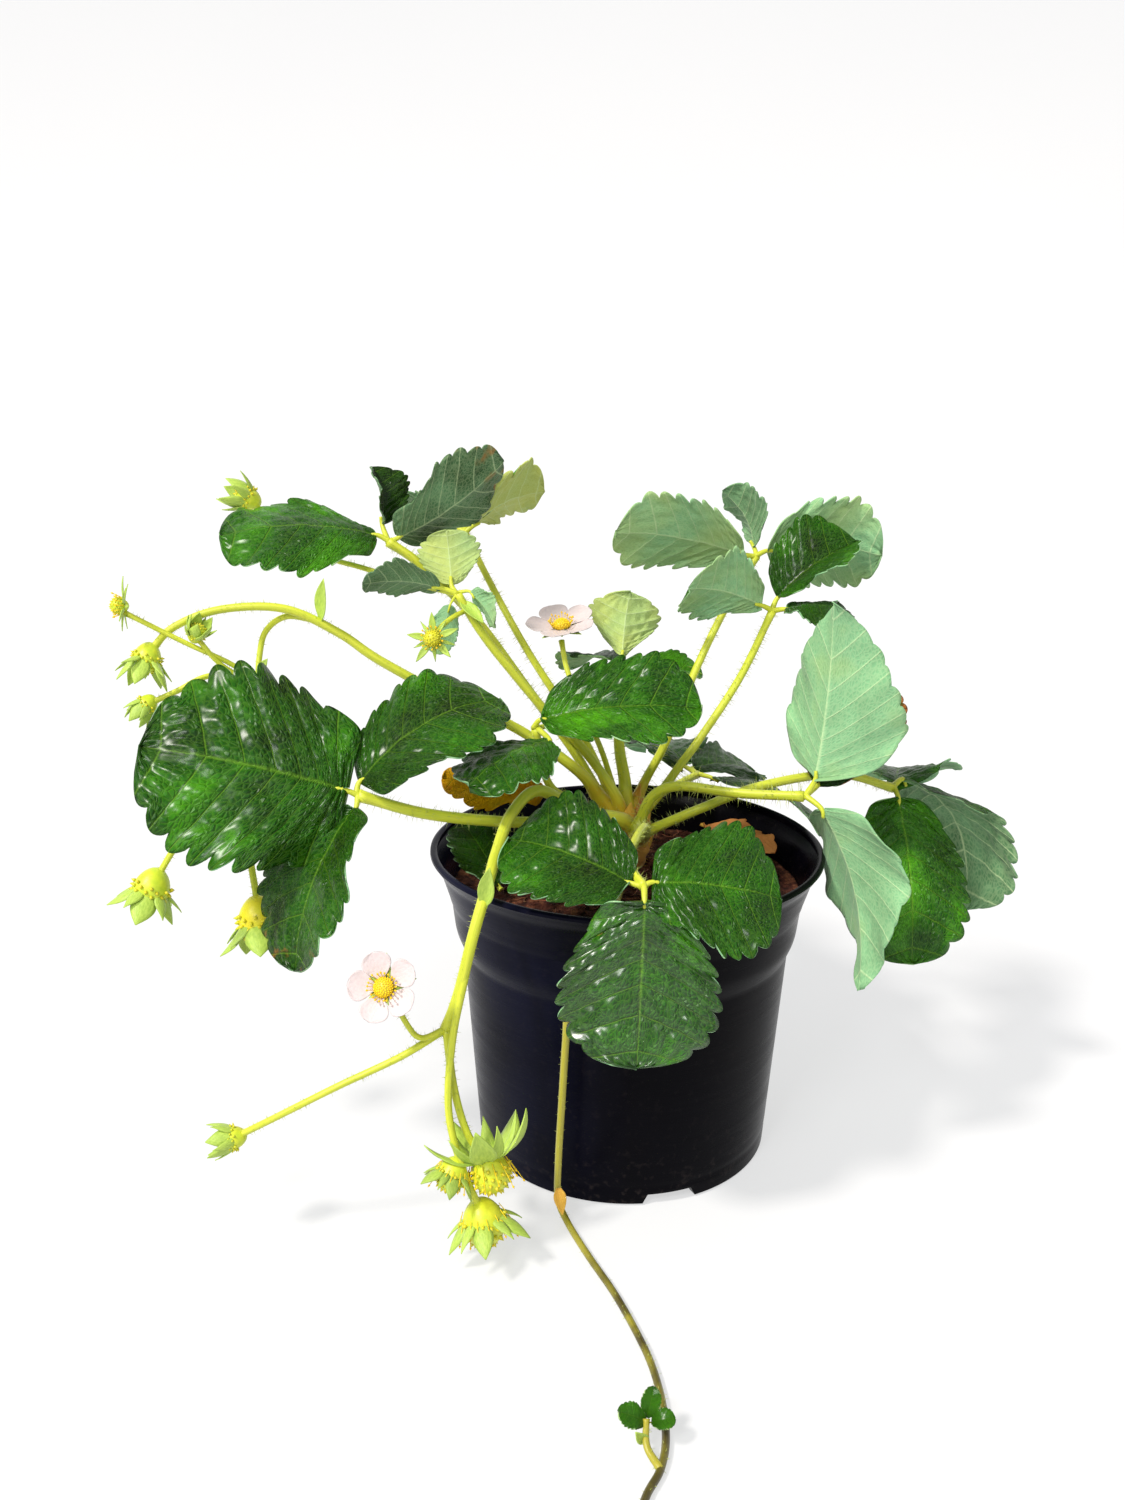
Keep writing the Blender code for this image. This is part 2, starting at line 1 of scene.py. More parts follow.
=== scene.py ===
"""Potted strawberry plant: detailed surfaces, finishes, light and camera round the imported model.

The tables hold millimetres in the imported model's frame: the origin is the centre of the pot's underside, +Z
is up and -Y is the plant's front. Each route is the one that its CAD solid has. Each leaflet has its solid's
place too, apart from a few blades that are a little wider, narrower, flatter or more folded, or sit closer to
their stalk. MM turns millimetres to metres when a mesh is made.
"""

import json
import logging
import math
from dataclasses import dataclass, field
from enum import Enum

import bmesh
import bpy
import numpy as np
from mathutils import Matrix, Vector

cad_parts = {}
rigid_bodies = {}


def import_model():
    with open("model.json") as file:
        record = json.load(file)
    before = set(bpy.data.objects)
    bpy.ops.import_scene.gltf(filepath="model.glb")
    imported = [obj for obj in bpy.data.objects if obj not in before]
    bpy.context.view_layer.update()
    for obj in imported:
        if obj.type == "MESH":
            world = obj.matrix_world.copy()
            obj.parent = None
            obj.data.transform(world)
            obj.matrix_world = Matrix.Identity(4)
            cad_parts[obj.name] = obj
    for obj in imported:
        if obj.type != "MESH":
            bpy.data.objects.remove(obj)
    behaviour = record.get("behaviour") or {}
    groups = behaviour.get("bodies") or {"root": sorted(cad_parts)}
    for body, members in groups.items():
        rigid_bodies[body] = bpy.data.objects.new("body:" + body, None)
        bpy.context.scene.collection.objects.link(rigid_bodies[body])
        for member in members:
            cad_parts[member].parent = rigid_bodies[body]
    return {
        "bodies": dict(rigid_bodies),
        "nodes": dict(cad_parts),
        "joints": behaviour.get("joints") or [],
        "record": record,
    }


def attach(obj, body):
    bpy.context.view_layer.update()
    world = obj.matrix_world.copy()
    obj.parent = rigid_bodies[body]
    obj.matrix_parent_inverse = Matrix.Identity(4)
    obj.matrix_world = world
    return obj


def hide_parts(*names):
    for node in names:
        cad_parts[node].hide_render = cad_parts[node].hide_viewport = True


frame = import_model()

logging.basicConfig(level=logging.INFO, format="%(message)s")
LOGGER = logging.getLogger("strawberry_plant")
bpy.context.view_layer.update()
MM = 0.001
TEETH = 9
TOOTH_LEAN = 0.41
FULL_TURN = 2.0 * math.pi
GOLDEN_ANGLE = math.pi * (3.0 - math.sqrt(5.0))
HAIR_RADIUS = 0.1
BLADE_THICKNESS = 0.42
VEIN_LEAN = 2.3
TOOTH_REACH = 0.028
TOOTH_SPREAD = 0.12
EIGHT_FACES = np.array([(0, 1, 4), (1, 2, 4), (2, 3, 4), (3, 0, 4), (1, 0, 5), (2, 1, 5), (3, 2, 5),
                        (0, 3, 5)])


# ---------------------------------------------------------------- colours, nodes and finishes


def linear(code: str) -> tuple[float, float, float, float]:
    """Turns an sRGB hex colour to linear RGBA.

    Args:
        code: The colour as "#rrggbb".

    Returns:
        Linear red, green, blue and an alpha of 1.
    """
    channels = [int(code[start:start + 2], 16) / 255.0 for start in (1, 3, 5)]
    opened = [c / 12.92 if c <= 0.04045 else ((c + 0.055) / 1.055) ** 2.4 for c in channels]
    return (opened[0], opened[1], opened[2], 1.0)


def add_node(
    tree: bpy.types.NodeTree, kind: str, inputs: dict | None = None, stops: tuple = (), **settings: object
) -> bpy.types.Node:
    """Adds a shader node with its settings, values and links.

    Args:
        tree: The material's node tree.
        kind: The node's type name without its ShaderNode prefix.
        inputs: Input name or number to a socket to link from, or a value.
        stops: Colour ramp stops as (place, hex colour).
        settings: Properties of the node itself.

    Returns:
        The new node.
    """
    made = tree.nodes.new("ShaderNode" + kind)
    for key, value in settings.items():
        setattr(made, key, value)
    for key, value in (inputs or {}).items():
        if isinstance(value, bpy.types.NodeSocket):
            tree.links.new(value, made.inputs[key])
        else:
            made.inputs[key].default_value = value
    for number, (place, code) in enumerate(stops):
        ramp = made.color_ramp
        stop = ramp.elements[number] if number < 2 else ramp.elements.new(place)
        stop.position = place
        stop.color = linear(code)
    return made


@dataclass(frozen=True)
class Finish:
    """What all finishes share: a name, the Principled shader's constants and how a material is made once."""

    name: str = "finish"
    roughness: float = 0.5
    ior: float = 1.45
    coat: float = 0.0
    coat_roughness: float = 0.2
    sheen: float = 0.0
    sheen_tint: str = "#ffffff"
    specular: float = 0.5

    def material(self) -> bpy.types.Material:
        """The finish as a material, made once.

        Returns:
            The material with one Principled shader.
        """
        if self.name in bpy.data.materials:
            return bpy.data.materials[self.name]
        made = bpy.data.materials.new(self.name)
        made.use_nodes = True
        tree = made.node_tree
        shader = tree.nodes["Principled BSDF"]
        constants = {
            "Roughness": self.roughness, "IOR": self.ior, "Coat Weight": self.coat, "Metallic": 0.0,
            "Coat Roughness": self.coat_roughness, "Sheen Weight": self.sheen, "Sheen Roughness": 0.35,
            "Sheen Tint": linear(self.sheen_tint), "Specular IOR Level": self.specular,
        }
        for name, value in constants.items():
            shader.inputs[name].default_value = value
        self.dress(tree, shader)
        return made

    def dress(self, tree: bpy.types.NodeTree, shader: bpy.types.Node) -> None:
        """Adds the finish's own pattern; each finish has its own.

        Args:
            tree: The material's node tree.
            shader: The Principled shader.
        """
        raise NotImplementedError

    @staticmethod
    def mixed(tree: bpy.types.NodeTree, share: object, first: object, second: object) -> bpy.types.NodeSocket:
        """The blend of two colours.

        Args:
            tree: The material's node tree.
            share: How much of the second colour, a value or a socket.
            first: The colour at 0.
            second: The colour at 1.

        Returns:
            The blend's socket.
        """
        mix = add_node(tree, "Mix", {0: share, 6: first, 7: second}, data_type="RGBA")
        return mix.outputs[2]

    @staticmethod
    def relief(
        tree: bpy.types.NodeTree, shader: bpy.types.Node, height: bpy.types.NodeSocket, depth: float,
        strength: float
    ) -> None:
        """Turns a height into the shader's bump.

        Args:
            tree: The material's node tree.
            shader: The Principled shader.
            height: The height socket, 0 to 1.
            depth: The full height in metres.
            strength: How much of it shows.
        """
        bump = add_node(tree, "Bump", {"Height": height, "Distance": depth, "Strength": strength})
        tree.links.new(bump.outputs["Normal"], shader.inputs["Normal"])


@dataclass(frozen=True)
class MouldedPolypropylene(Finish):
    """Recycled black polypropylene, formed thin: a soft satin gloss, a painted blue reflection on the left
    side, faint flow bands and settled dust.
    """

    name: str = "recycled_black_polypropylene"
    roughness: float = 0.24
    ior: float = 1.49
    specular: float = 0.045
    base: str = "#030203"
    painted_reflection_blue: str = "#101228"
    dust: str = "#3c3432"

    def dress(self, tree: bpy.types.NodeTree, shader: bpy.types.Node) -> None:
        """A painted blue reflection, in soft patches, that grows towards the lit left side, flow bands round
        the wall, and dust that gathers low down.

        Args:
            tree: The material's node tree.
            shader: The Principled shader.
        """
        place = add_node(tree, "TexCoord").outputs["Object"]
        patches = add_node(tree, "TexNoise", {"Vector": place, "Scale": 26.0, "Detail": 4.0})
        axes = add_node(tree, "SeparateXYZ", {"Vector": place})
        # Painted reflection: a blue tint that grows towards the lit left side (negative X), broken into
        # patches.
        lit_side_reflection = add_node(
            tree, "MapRange",
            {"Value": axes.outputs["X"], "From Min": 0.0, "From Max": -0.05, "To Min": 0.12, "To Max": 1.5},
        )
        patchy_painted_reflection = add_node(tree, "Math", {0: patches.outputs["Fac"], 1: lit_side_reflection.outputs[0]},
                         operation="MULTIPLY", use_clamp=True)
        stretched = add_node(tree, "Mapping", {"Vector": place, "Scale": (30.0, 30.0, 260.0)})
        bands = add_node(tree, "TexNoise", {"Vector": stretched.outputs[0], "Scale": 1.0, "Detail": 4.0})
        specks = add_node(tree, "TexNoise", {"Vector": place, "Scale": 420.0, "Detail": 5.0})
        colour = self.mixed(tree, patchy_painted_reflection.outputs[0], linear(self.base), linear(self.painted_reflection_blue))
        low = add_node(
            tree, "MapRange",
            {"Value": axes.outputs["Z"], "From Min": 0.0, "From Max": 0.025, "To Min": 0.35, "To Max": 0.07},
        )
        grains = add_node(
            tree, "MapRange",
            {"Value": specks.outputs["Fac"], "From Min": 0.56, "From Max": 0.74, "To Min": 0.0,
             "To Max": 1.0},
        )
        dusty = add_node(tree, "Math", {0: low.outputs[0], 1: grains.outputs[0]}, operation="MULTIPLY")
        tree.links.new(self.mixed(tree, dusty.outputs[0], colour, linear(self.dust)),
                       shader.inputs["Base Color"])
        rough = add_node(
            tree, "MapRange",
            {"Value": bands.outputs["Fac"], "To Min": self.roughness - 0.08, "To Max": self.roughness + 0.14},
        )
        tree.links.new(rough.outputs[0], shader.inputs["Roughness"])
        self.relief(tree, shader, bands.outputs["Fac"], 0.0004, 0.35)


@dataclass(frozen=True)
class Peat(Finish):
    """Moist sphagnum peat: dark red-brown, wholly matt, with paler fibres and near-black hollows."""

    name: str = "moist_peat"
    roughness: float = 0.95
    specular: float = 0.2
    dark: str = "#1c0b07"
    middle: str = "#46231a"
    pale: str = "#84533a"

    def dress(self, tree: bpy.types.NodeTree, shader: bpy.types.Node) -> None:
        """Colour and relief from crumbs about 2 mm across with grains of about 0.5 mm on them.

        Args:
            tree: The material's node tree.
            shader: The Principled shader.
        """
        place = add_node(tree, "TexCoord").outputs["Object"]
        crumbs = add_node(tree, "TexNoise", {"Vector": place, "Scale": 260.0, "Detail": 8.0})
        tone = add_node(
            tree, "ValToRGB", {"Fac": crumbs.outputs["Fac"]},
            stops=((0.32, self.dark), (0.72, self.pale), (0.52, self.middle)),
        )
        tree.links.new(tone.outputs[0], shader.inputs["Base Color"])
        grains = add_node(tree, "TexNoise", {"Vector": place, "Scale": 1100.0, "Detail": 4.0})
        self.relief(tree, shader, grains.outputs["Fac"], 0.0012, 0.9)


@dataclass(frozen=True)
class Cuticle(Finish):
    """A leaflet's upper side: waxy cuticle over deep green, sunk veins, a broken gloss. The vein lines follow
    the blade's own UV map, where U runs across and V counts the vein pairs from base to tip."""

    name: str = "leaf_upper_cuticle"
    roughness: float = 0.34
    ior: float = 1.47
    coat: float = 0.26
    coat_roughness: float = 0.23
    specular: float = 0.14
    deep: str = "#072200"
    middle: str = "#1c5602"
    bright: str = "#4a9a06"
    vein: str = "#7aac2e"
    burnt: str = "#a8642a"
    vein_share: float = 0.4
    net_share: float = 0.12
    mottle: float = 1.7
    mesh_depth: float = 0.0009

    def dress(self, tree: bpy.types.NodeTree, shader: bpy.types.Node) -> None:
        """Green by age, painted light and shade, and patch; pale veins, scorched tips, gloss broken up by the
        fine vein net.

        Args:
            tree: The material's node tree.
            shader: The Principled shader.
        """
        place = add_node(tree, "TexCoord")
        grid = add_node(tree, "SeparateXYZ", {"Vector": place.outputs["UV"]})
        count = add_node(
            tree, "Math", {0: grid.outputs["Y"], 1: float(TEETH), 2: TOOTH_LEAN}, operation="MULTIPLY_ADD"
        )
        apart = add_node(tree, "Math", {0: count.outputs[0], 1: 0.5}, operation="PINGPONG")
        side = add_node(
            tree, "MapRange", {"Value": apart.outputs[0], "From Max": 0.045, "To Min": 1.0, "To Max": 0.0}
        )
        off = add_node(tree, "Math", {0: grid.outputs["X"], 1: 0.5}, operation="SUBTRACT")
        off = add_node(tree, "Math", {0: off.outputs[0]}, operation="ABSOLUTE")
        rib = add_node(
            tree, "MapRange", {"Value": off.outputs[0], "From Max": 0.016, "To Min": 1.0, "To Max": 0.0}
        )
        veins = add_node(tree, "Math", {0: side.outputs[0], 1: rib.outputs[0]}, operation="MAXIMUM")
        cells = add_node(tree, "Mapping", {"Vector": place.outputs["UV"], "Scale": (34.0, 52.0, 1.0)})
        net = add_node(
            tree, "TexVoronoi", {"Vector": cells.outputs[0], "Scale": 1.0}, feature="DISTANCE_TO_EDGE"
        )
        lines = add_node(
            tree, "MapRange",
            {"Value": net.outputs["Distance"], "From Max": 0.22, "To Min": 1.0, "To Max": 0.0},
        )
        # The shade attribute carries each leaf's age and its painted light and shade: low for leaflets in
        # shadow, high for sunlit ones.
        age = add_node(tree, "Attribute", attribute_name="shade")
        patches = add_node(tree, "TexNoise",
                           {"Vector": place.outputs["Object"], "Scale": 62.0, "Detail": 4.0})
        older = add_node(
            tree, "Math", {0: patches.outputs["Fac"], 1: self.mottle, 2: -0.52 * self.mottle},
            operation="MULTIPLY_ADD"
        )
        share = add_node(tree, "Math", {0: older.outputs[0], 1: age.outputs["Fac"]}, use_clamp=True)
        ramp = add_node(
            tree, "ValToRGB", {"Fac": share.outputs[0]},
            stops=((0.0, self.deep), (1.0, self.bright), (0.5, self.middle)),
        )
        green = ramp.outputs[0]
        faint = add_node(tree, "Math", {0: lines.outputs[0], 1: self.net_share}, operation="MULTIPLY")
        strong = add_node(tree, "Math", {0: veins.outputs[0], 1: self.vein_share, 2: faint.outputs[0]},
                          operation="MULTIPLY_ADD", use_clamp=True)
        green = self.mixed(tree, strong.outputs[0], green, linear(self.vein))
        burn = add_node(tree, "Attribute", attribute_name="burn")
        blotch = add_node(tree, "TexNoise",
                          {"Vector": place.outputs["Object"], "Scale": 190.0, "Detail": 5.0})
        scorched = add_node(tree, "Math", {0: burn.outputs["Fac"], 1: blotch.outputs["Fac"]},
                            operation="MULTIPLY")
        scorched = add_node(
            tree, "MapRange", {"Value": scorched.outputs[0], "From Min": 0.30, "From Max": 0.42}
        )
        tree.links.new(self.mixed(tree, scorched.outputs[0], green, linear(self.burnt)),
                       shader.inputs["Base Color"])
        gloss = add_node(
            tree, "MapRange",
            {"Value": blotch.outputs["Fac"], "From Min": 0.3, "From Max": 0.7,
             "To Min": self.roughness - 0.07, "To Max": self.roughness + 0.16},
        )
        tree.links.new(gloss.outputs[0], shader.inputs["Roughness"])
        swell = add_node(tree, "MapRange", {"Value": net.outputs["Distance"], "From Max": 0.5})
        sunk = add_node(tree, "Math", {0: swell.outputs[0], 1: veins.outputs[0]}, operation="SUBTRACT")
        self.relief(tree, shader, sunk.outputs[0], self.mesh_depth, 0.8)


@dataclass(frozen=True)
class Underside(Cuticle):
    """A leaflet's underside: pale grey-green under a fine down, raised paler veins, no gloss; by leaf it goes
    dark olive as painted shade or yellow-olive as painted sunlight through the blade.
    """

    name: str = "leaf_underside_down"
    roughness: float = 0.62
    coat: float = 0.0
    sheen: float = 0.1
    # deep is painted shade for undersides in shadow and bright is painted sunlight through the blade; middle
    # is the underside's own grey-green.
    deep: str = "#1d3a0c"
    middle: str = "#82b684"
    bright: str = "#b3bd5e"
    vein: str = "#d3e6b0"
    burnt: str = "#a5743c"
    vein_share: float = 0.42
    net_share: float = 0.16
    mottle: float = 0.6
    mesh_depth: float = -0.00014


@dataclass(frozen=True)
class Senescent(Cuticle):
    """A dying leaflet: chlorophyll gone to orange-yellow, green left by the veins, brown crisp patches."""

    name: str = "yellowed_leaf"
    roughness: float = 0.5
    coat: float = 0.0
    deep: str = "#dd8a08"
    middle: str = "#f0ae08"
    bright: str = "#d3c92c"
    vein: str = "#c7c22c"
    burnt: str = "#9c3f14"


@dataclass(frozen=True)
class Withered(Cuticle):
    """A leaflet gone past yellow: red-orange and tan, matt and papery."""

    name: str = "withered_leaf"
    roughness: float = 0.7
    coat: float = 0.0
    deep: str = "#8a2a10"
    middle: str = "#b84c18"
    bright: str = "#cf9a2c"
    vein: str = "#c08c40"
    burnt: str = "#5c2a14"


@dataclass(frozen=True)
class StemSkin(Finish):
    """Living stem skin: yellow-green, ridged along its length, paler where lit and flushed red-brown at its
    foot."""

    name: str = "green_stem_skin"
    roughness: float = 0.42
    ior: float = 1.45
    sheen: float = 0.12
    green: str = "#a0b41e"
    pale: str = "#e2e048"
    flush: str = "#cf8f20"

    def dress(self, tree: bpy.types.NodeTree, shader: bpy.types.Node) -> None:
        """Long thin streaks round the stem and a flush given by the mesh's own shade.

        Args:
            tree: The material's node tree.
            shader: The Principled shader.
        """
        place = add_node(tree, "TexCoord")
        streaked = add_node(tree, "Mapping", {"Vector": place.outputs["UV"], "Scale": (7.0, 5.0, 1.0)})
        streaks = add_node(tree, "TexNoise", {"Vector": streaked.outputs[0], "Scale": 1.6, "Detail": 3.0})
        spots = add_node(tree, "TexNoise", {"Vector": place.outputs["Object"], "Scale": 120.0, "Detail": 3.0})
        colour = self.mixed(tree, streaks.outputs["Fac"], linear(self.green), linear(self.pale))
        flushed = add_node(tree, "Attribute", attribute_name="shade")
        share = add_node(
            tree, "Math", {0: flushed.outputs["Fac"], 1: spots.outputs["Fac"]}, operation="MULTIPLY"
        )
        share = add_node(tree, "MapRange", {"Value": share.outputs[0], "From Min": 0.12, "From Max": 0.6})
        tree.links.new(self.mixed(tree, share.outputs[0], colour, linear(self.flush)),
                       shader.inputs["Base Color"])
        self.relief(tree, shader, streaks.outputs["Fac"], 0.0003, 0.5)


@dataclass(frozen=True)
class RunnerSkin(StemSkin):
    """A runner's skin: olive-yellow, going dark olive-brown where it lies in the sun."""

    name: str = "runner_skin"
    green: str = "#8f8f22"
    pale: str = "#b9ab3a"
    flush: str = "#4a4218"


@dataclass(frozen=True)
class Bristle(StemSkin):
    """The stiff pale hairs of a strawberry stalk, drawn about three times as thick as real so that they
    show."""

    name: str = "stem_bristle"
    roughness: float = 0.5
    green: str = "#a5b548"
    pale: str = "#d3db7a"
    flush: str = "#c9a05a"


@dataclass(frozen=True)
class Scale(StemSkin):
    """The crown's dry scales and stipules: papery, orange-brown with a pink foot, streaked along."""

    name: str = "crown_scale"
    roughness: float = 0.72
    green: str = "#c9922e"
    pale: str = "#efc350"
    flush: str = "#a65a40"


@dataclass(frozen=True)
class Sepal(StemSkin):
    """A sepal or bract: bright yellow-green, softly matt, streaked along its length."""

    name: str = "sepal_green"
    roughness: float = 0.5
    green: str = "#7fa534"
    pale: str = "#cbe064"
    flush: str = "#3f5c22"


@dataclass(frozen=True)
class PetalSkin(StemSkin):
    """A petal: white with a hint of pink, softly shining, faint veins that run out to its rim."""

    name: str = "white_petal"
    roughness: float = 0.5
    sheen: float = 0.2
    green: str = "#c6b6b8"
    pale: str = "#d8cccb"
    flush: str = "#cda6ae"


@dataclass(frozen=True)
class Pollen(StemSkin):
    """Anthers and the flower's heart: powdery yellow turning orange."""

    name: str = "pollen_yellow"
    roughness: float = 0.8
    green: str = "#f0c400"
    pale: str = "#f8dc1c"
    flush: str = "#e8980c"


@dataclass(frozen=True)
class UnripeFruit(StemSkin):
    """A young fruit: hard pale green, faintly glossy between its seeds."""

    name: str = "unripe_fruit"
    roughness: float = 0.4
    green: str = "#a4c22c"
    pale: str = "#dfe53a"
    flush: str = "#d9c41e"


@dataclass(frozen=True)
class Seamless(Finish):
    """A plain pale matt floor, lit a little from below as a light table is, so that it stays near white."""

    name: str = "pale_floor"
    roughness: float = 0.85

    def dress(self, tree: bpy.types.NodeTree, shader: bpy.types.Node) -> None:
        """Two near whites in broad soft patches.

        Args:
            tree: The material's node tree.
            shader: The Principled shader.
        """
        place = add_node(tree, "TexCoord").outputs["Object"]
        patches = add_node(tree, "TexNoise", {"Vector": place, "Scale": 2.0, "Detail": 2.0})
        colour = self.mixed(tree, patches.outputs["Fac"], linear("#929294"), linear("#969697"))
        tree.links.new(colour, shader.inputs["Base Color"])
        shader.inputs["Emission Color"].default_value = linear("#ffffff")
        shader.inputs["Emission Strength"].default_value = 0.6


# ---------------------------------------------------------------- surfaces


def unit(vector: object) -> np.ndarray:
    """A vector at length 1, or each row of an array at length 1.

    Args:
        vector: The vector or the rows.

    Returns:
        The same directions at length 1.
    """
    vector = np.asarray(vector, float)
    return vector / np.maximum(np.linalg.norm(vector, axis=-1, keepdims=True), 1e-9)


def eased(share: np.ndarray, start: float, end: float) -> np.ndarray:
    """A smooth step: 0 before start, 1 after end and 3t^2 - 2t^3 between.

    Args:
        share: The values to ease.
        start: Where the step starts.
        end: Where it ends.

    Returns:
        Values from 0 to 1.
    """
    t = np.clip((share - start) / (end - start), 0.0, 1.0)
    return t * t * (3.0 - 2.0 * t)


def grid_quads(rows: int, columns: int, closed: bool = False) -> np.ndarray:
    """Quads over a grid of points numbered row by row.

    Args:
        rows: Rows of points.
        columns: Points in a row.
        closed: Whether each row joins its own start.

    Returns:
        Corner numbers, one row per quad.
    """
    row, column = np.meshgrid(np.arange(rows - 1), np.arange(columns if closed else columns - 1),
                              indexing="ij")
    after = (column + 1) % columns
    corners = (row * columns + column, row * columns + after, (row + 1) * columns + after,
               (row + 1) * columns + column)
    return np.stack(corners, axis=-1).reshape(-1, 4)


@dataclass
class Patch:
    """A closed surface: points in millimetres, faces, each point's UV and shade, and each face's finish
    number."""

    points: np.ndarray
    quads: np.ndarray
    triangles: np.ndarray = field(default_factory=lambda: np.zeros((0, 3), int))
    place: np.ndarray | None = None
    shade: np.ndarray | float = 0.0
    burn: np.ndarray | float = 0.0
    coats: np.ndarray | int = 0


class Piece:
    """One visible piece, gathered from patches and turned into an object that rides, replaces and is
    dressed."""

    def __init__(self, name: str, finishes: tuple[Finish, ...], slot: str, *replaced: str) -> None:
        """Starts an empty piece.

        Args:
            name: The object's name.
            finishes: Its materials in order; a patch names one by number.
            slot: The record's material slot; kept but not used.
            replaced: The CAD nodes that it stands for.
        """
        self.name = name
        self.finishes = finishes
        self.slot = slot
        self.replaced = replaced
        self.patches: list[Patch] = []

    def add(self, patch: Patch) -> None:
        """Takes one more patch.

        Args:
            patch: The patch.
        """
        self.patches.append(patch)

    def build(self) -> bpy.types.Object:
        """Makes the mesh from all patches, turns its faces outward, dresses it and hands it to the frame.

        Returns:
            The finished object.
        """
        counts = [len(patch.points) for patch in self.patches]
        starts = np.cumsum([0, *counts[:-1]])
        points = np.vstack([patch.points for patch in self.patches]) * MM
        quads = np.vstack([patch.quads + start for patch, start in zip(self.patches, starts)])
        triangles = np.vstack([patch.triangles + start for patch, start in zip(self.patches, starts)])
        places = np.vstack([
            np.zeros((count, 2)) if patch.place is None else patch.place
            for patch, count in zip(self.patches, counts)
        ])
        coats = [np.broadcast_to(patch.coats, len(patch.quads)) for patch in self.patches]
        coats += [
            np.full(len(patch.triangles), int(np.max(patch.coats)) if len(patch.triangles) else 0)
            for patch in self.patches
        ]
        mesh = bpy.data.meshes.new(self.name)
        mesh.from_pydata(points.tolist(), [], quads.tolist() + triangles.tolist())
        mesh.polygons.foreach_set("material_index", np.concatenate(coats).astype(np.int32))
        mesh.polygons.foreach_set("use_smooth", np.ones(len(mesh.polygons), bool))
        corners = np.zeros(len(mesh.loops), np.int32)
        mesh.loops.foreach_get("vertex_index", corners)
        mesh.uv_layers.new(name="UVMap").uv.foreach_set("vector", places[corners].astype(np.float32).ravel())
        for name in ("shade", "burn"):
            values = [
                np.broadcast_to(getattr(patch, name), count) for patch, count in zip(self.patches, counts)
            ]
            layer = mesh.attributes.new(name, "FLOAT", "POINT")
            layer.data.foreach_set("value", np.concatenate(values).astype(np.float32))
        work = bmesh.new()
        work.from_mesh(mesh)
        bmesh.ops.recalc_face_normals(work, faces=work.faces)
        work.to_mesh(mesh)
        work.free()
        made = bpy.data.objects.new(self.name, mesh)
        bpy.context.scene.collection.objects.link(made)
        for finish in self.finishes:
            mesh.materials.append(finish.material())
        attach(made, "root")
        if self.replaced:
            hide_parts(*self.replaced)
        LOGGER.info("%s: %d faces, stands for %s", self.name, len(mesh.polygons), ", ".join(self.replaced))
        return made


def sheet(
    middle: np.ndarray, thickness: float, place: np.ndarray, coats: tuple[int, int] = (0, 1),
    shade: np.ndarray | float = 0.0, burn: np.ndarray | float = 0.0,
) -> Patch:
    """Gives a grid of points a thickness: the grid moved half of it each way along its own normals, and a
    rim.

    Args:
        middle: Points as rows, columns, xyz; the upper side is the one that its normals leave.
        thickness: The sheet's thickness in millimetres.
        place: Each point's UV.
        coats: Finish numbers of the upper and lower side.
        shade: Each point's shade, or one for all.
        burn: Each point's scorching, or one for all.

    Returns:
        The closed sheet.
    """
    rows, columns = middle.shape[:2]
    normal = unit(np.cross(np.gradient(middle, axis=0), np.gradient(middle, axis=1)))
    upper = (middle + 0.5 * thickness * normal).reshape(-1, 3)
    lower = (middle - 0.5 * thickness * normal).reshape(-1, 3)
    numbers = np.arange(rows * columns).reshape(rows, columns)
    edge = np.concatenate([numbers[0, :-1], numbers[:-1, -1], numbers[-1, :0:-1], numbers[:0:-1, 0]])
    after = np.roll(edge, -1)
    total = rows * columns
    faces = grid_quads(rows, columns)
    rim = np.stack([edge, after, after + total, edge + total], axis=-1)
    shades = np.broadcast_to(shade, (rows, columns)).ravel()
    burns = np.broadcast_to(burn, (rows, columns)).ravel()
    return Patch(
        points=np.vstack([upper, lower]),
        quads=np.vstack([faces, faces + total, rim]),
        place=np.tile(place.reshape(-1, 2), (2, 1)),
        shade=np.tile(shades, 2),
        burn=np.tile(burns, 2),
        coats=np.repeat((coats[0], coats[1]), (len(faces), len(faces) + len(rim))),
    )


def cross_frame(path: np.ndarray) -> tuple[np.ndarray, np.ndarray]:
    """Two directions across a path at each of its points.

    The first is the tangent crossed with the one fixed direction, of seven tried, that stays furthest from
    being along the path; the second is the tangent crossed with the first.

    Args:
        path: The path's points.

    Returns:
        The two directions, one row per point.
    """
    tangent = unit(np.gradient(path, axis=0))
    tried = unit([(1, 0, 0), (0, 1, 0), (0, 0, 1), (1, 1, 0), (1, -1, 0), (0, 1, 1), (1, 0, 1)])
    lengths = np.linalg.norm(np.cross(tangent[None], tried[:, None]), axis=-1).min(axis=1)
    first = unit(np.cross(tangent, tried[int(np.argmax(lengths))]))
    return first, np.cross(tangent, first)


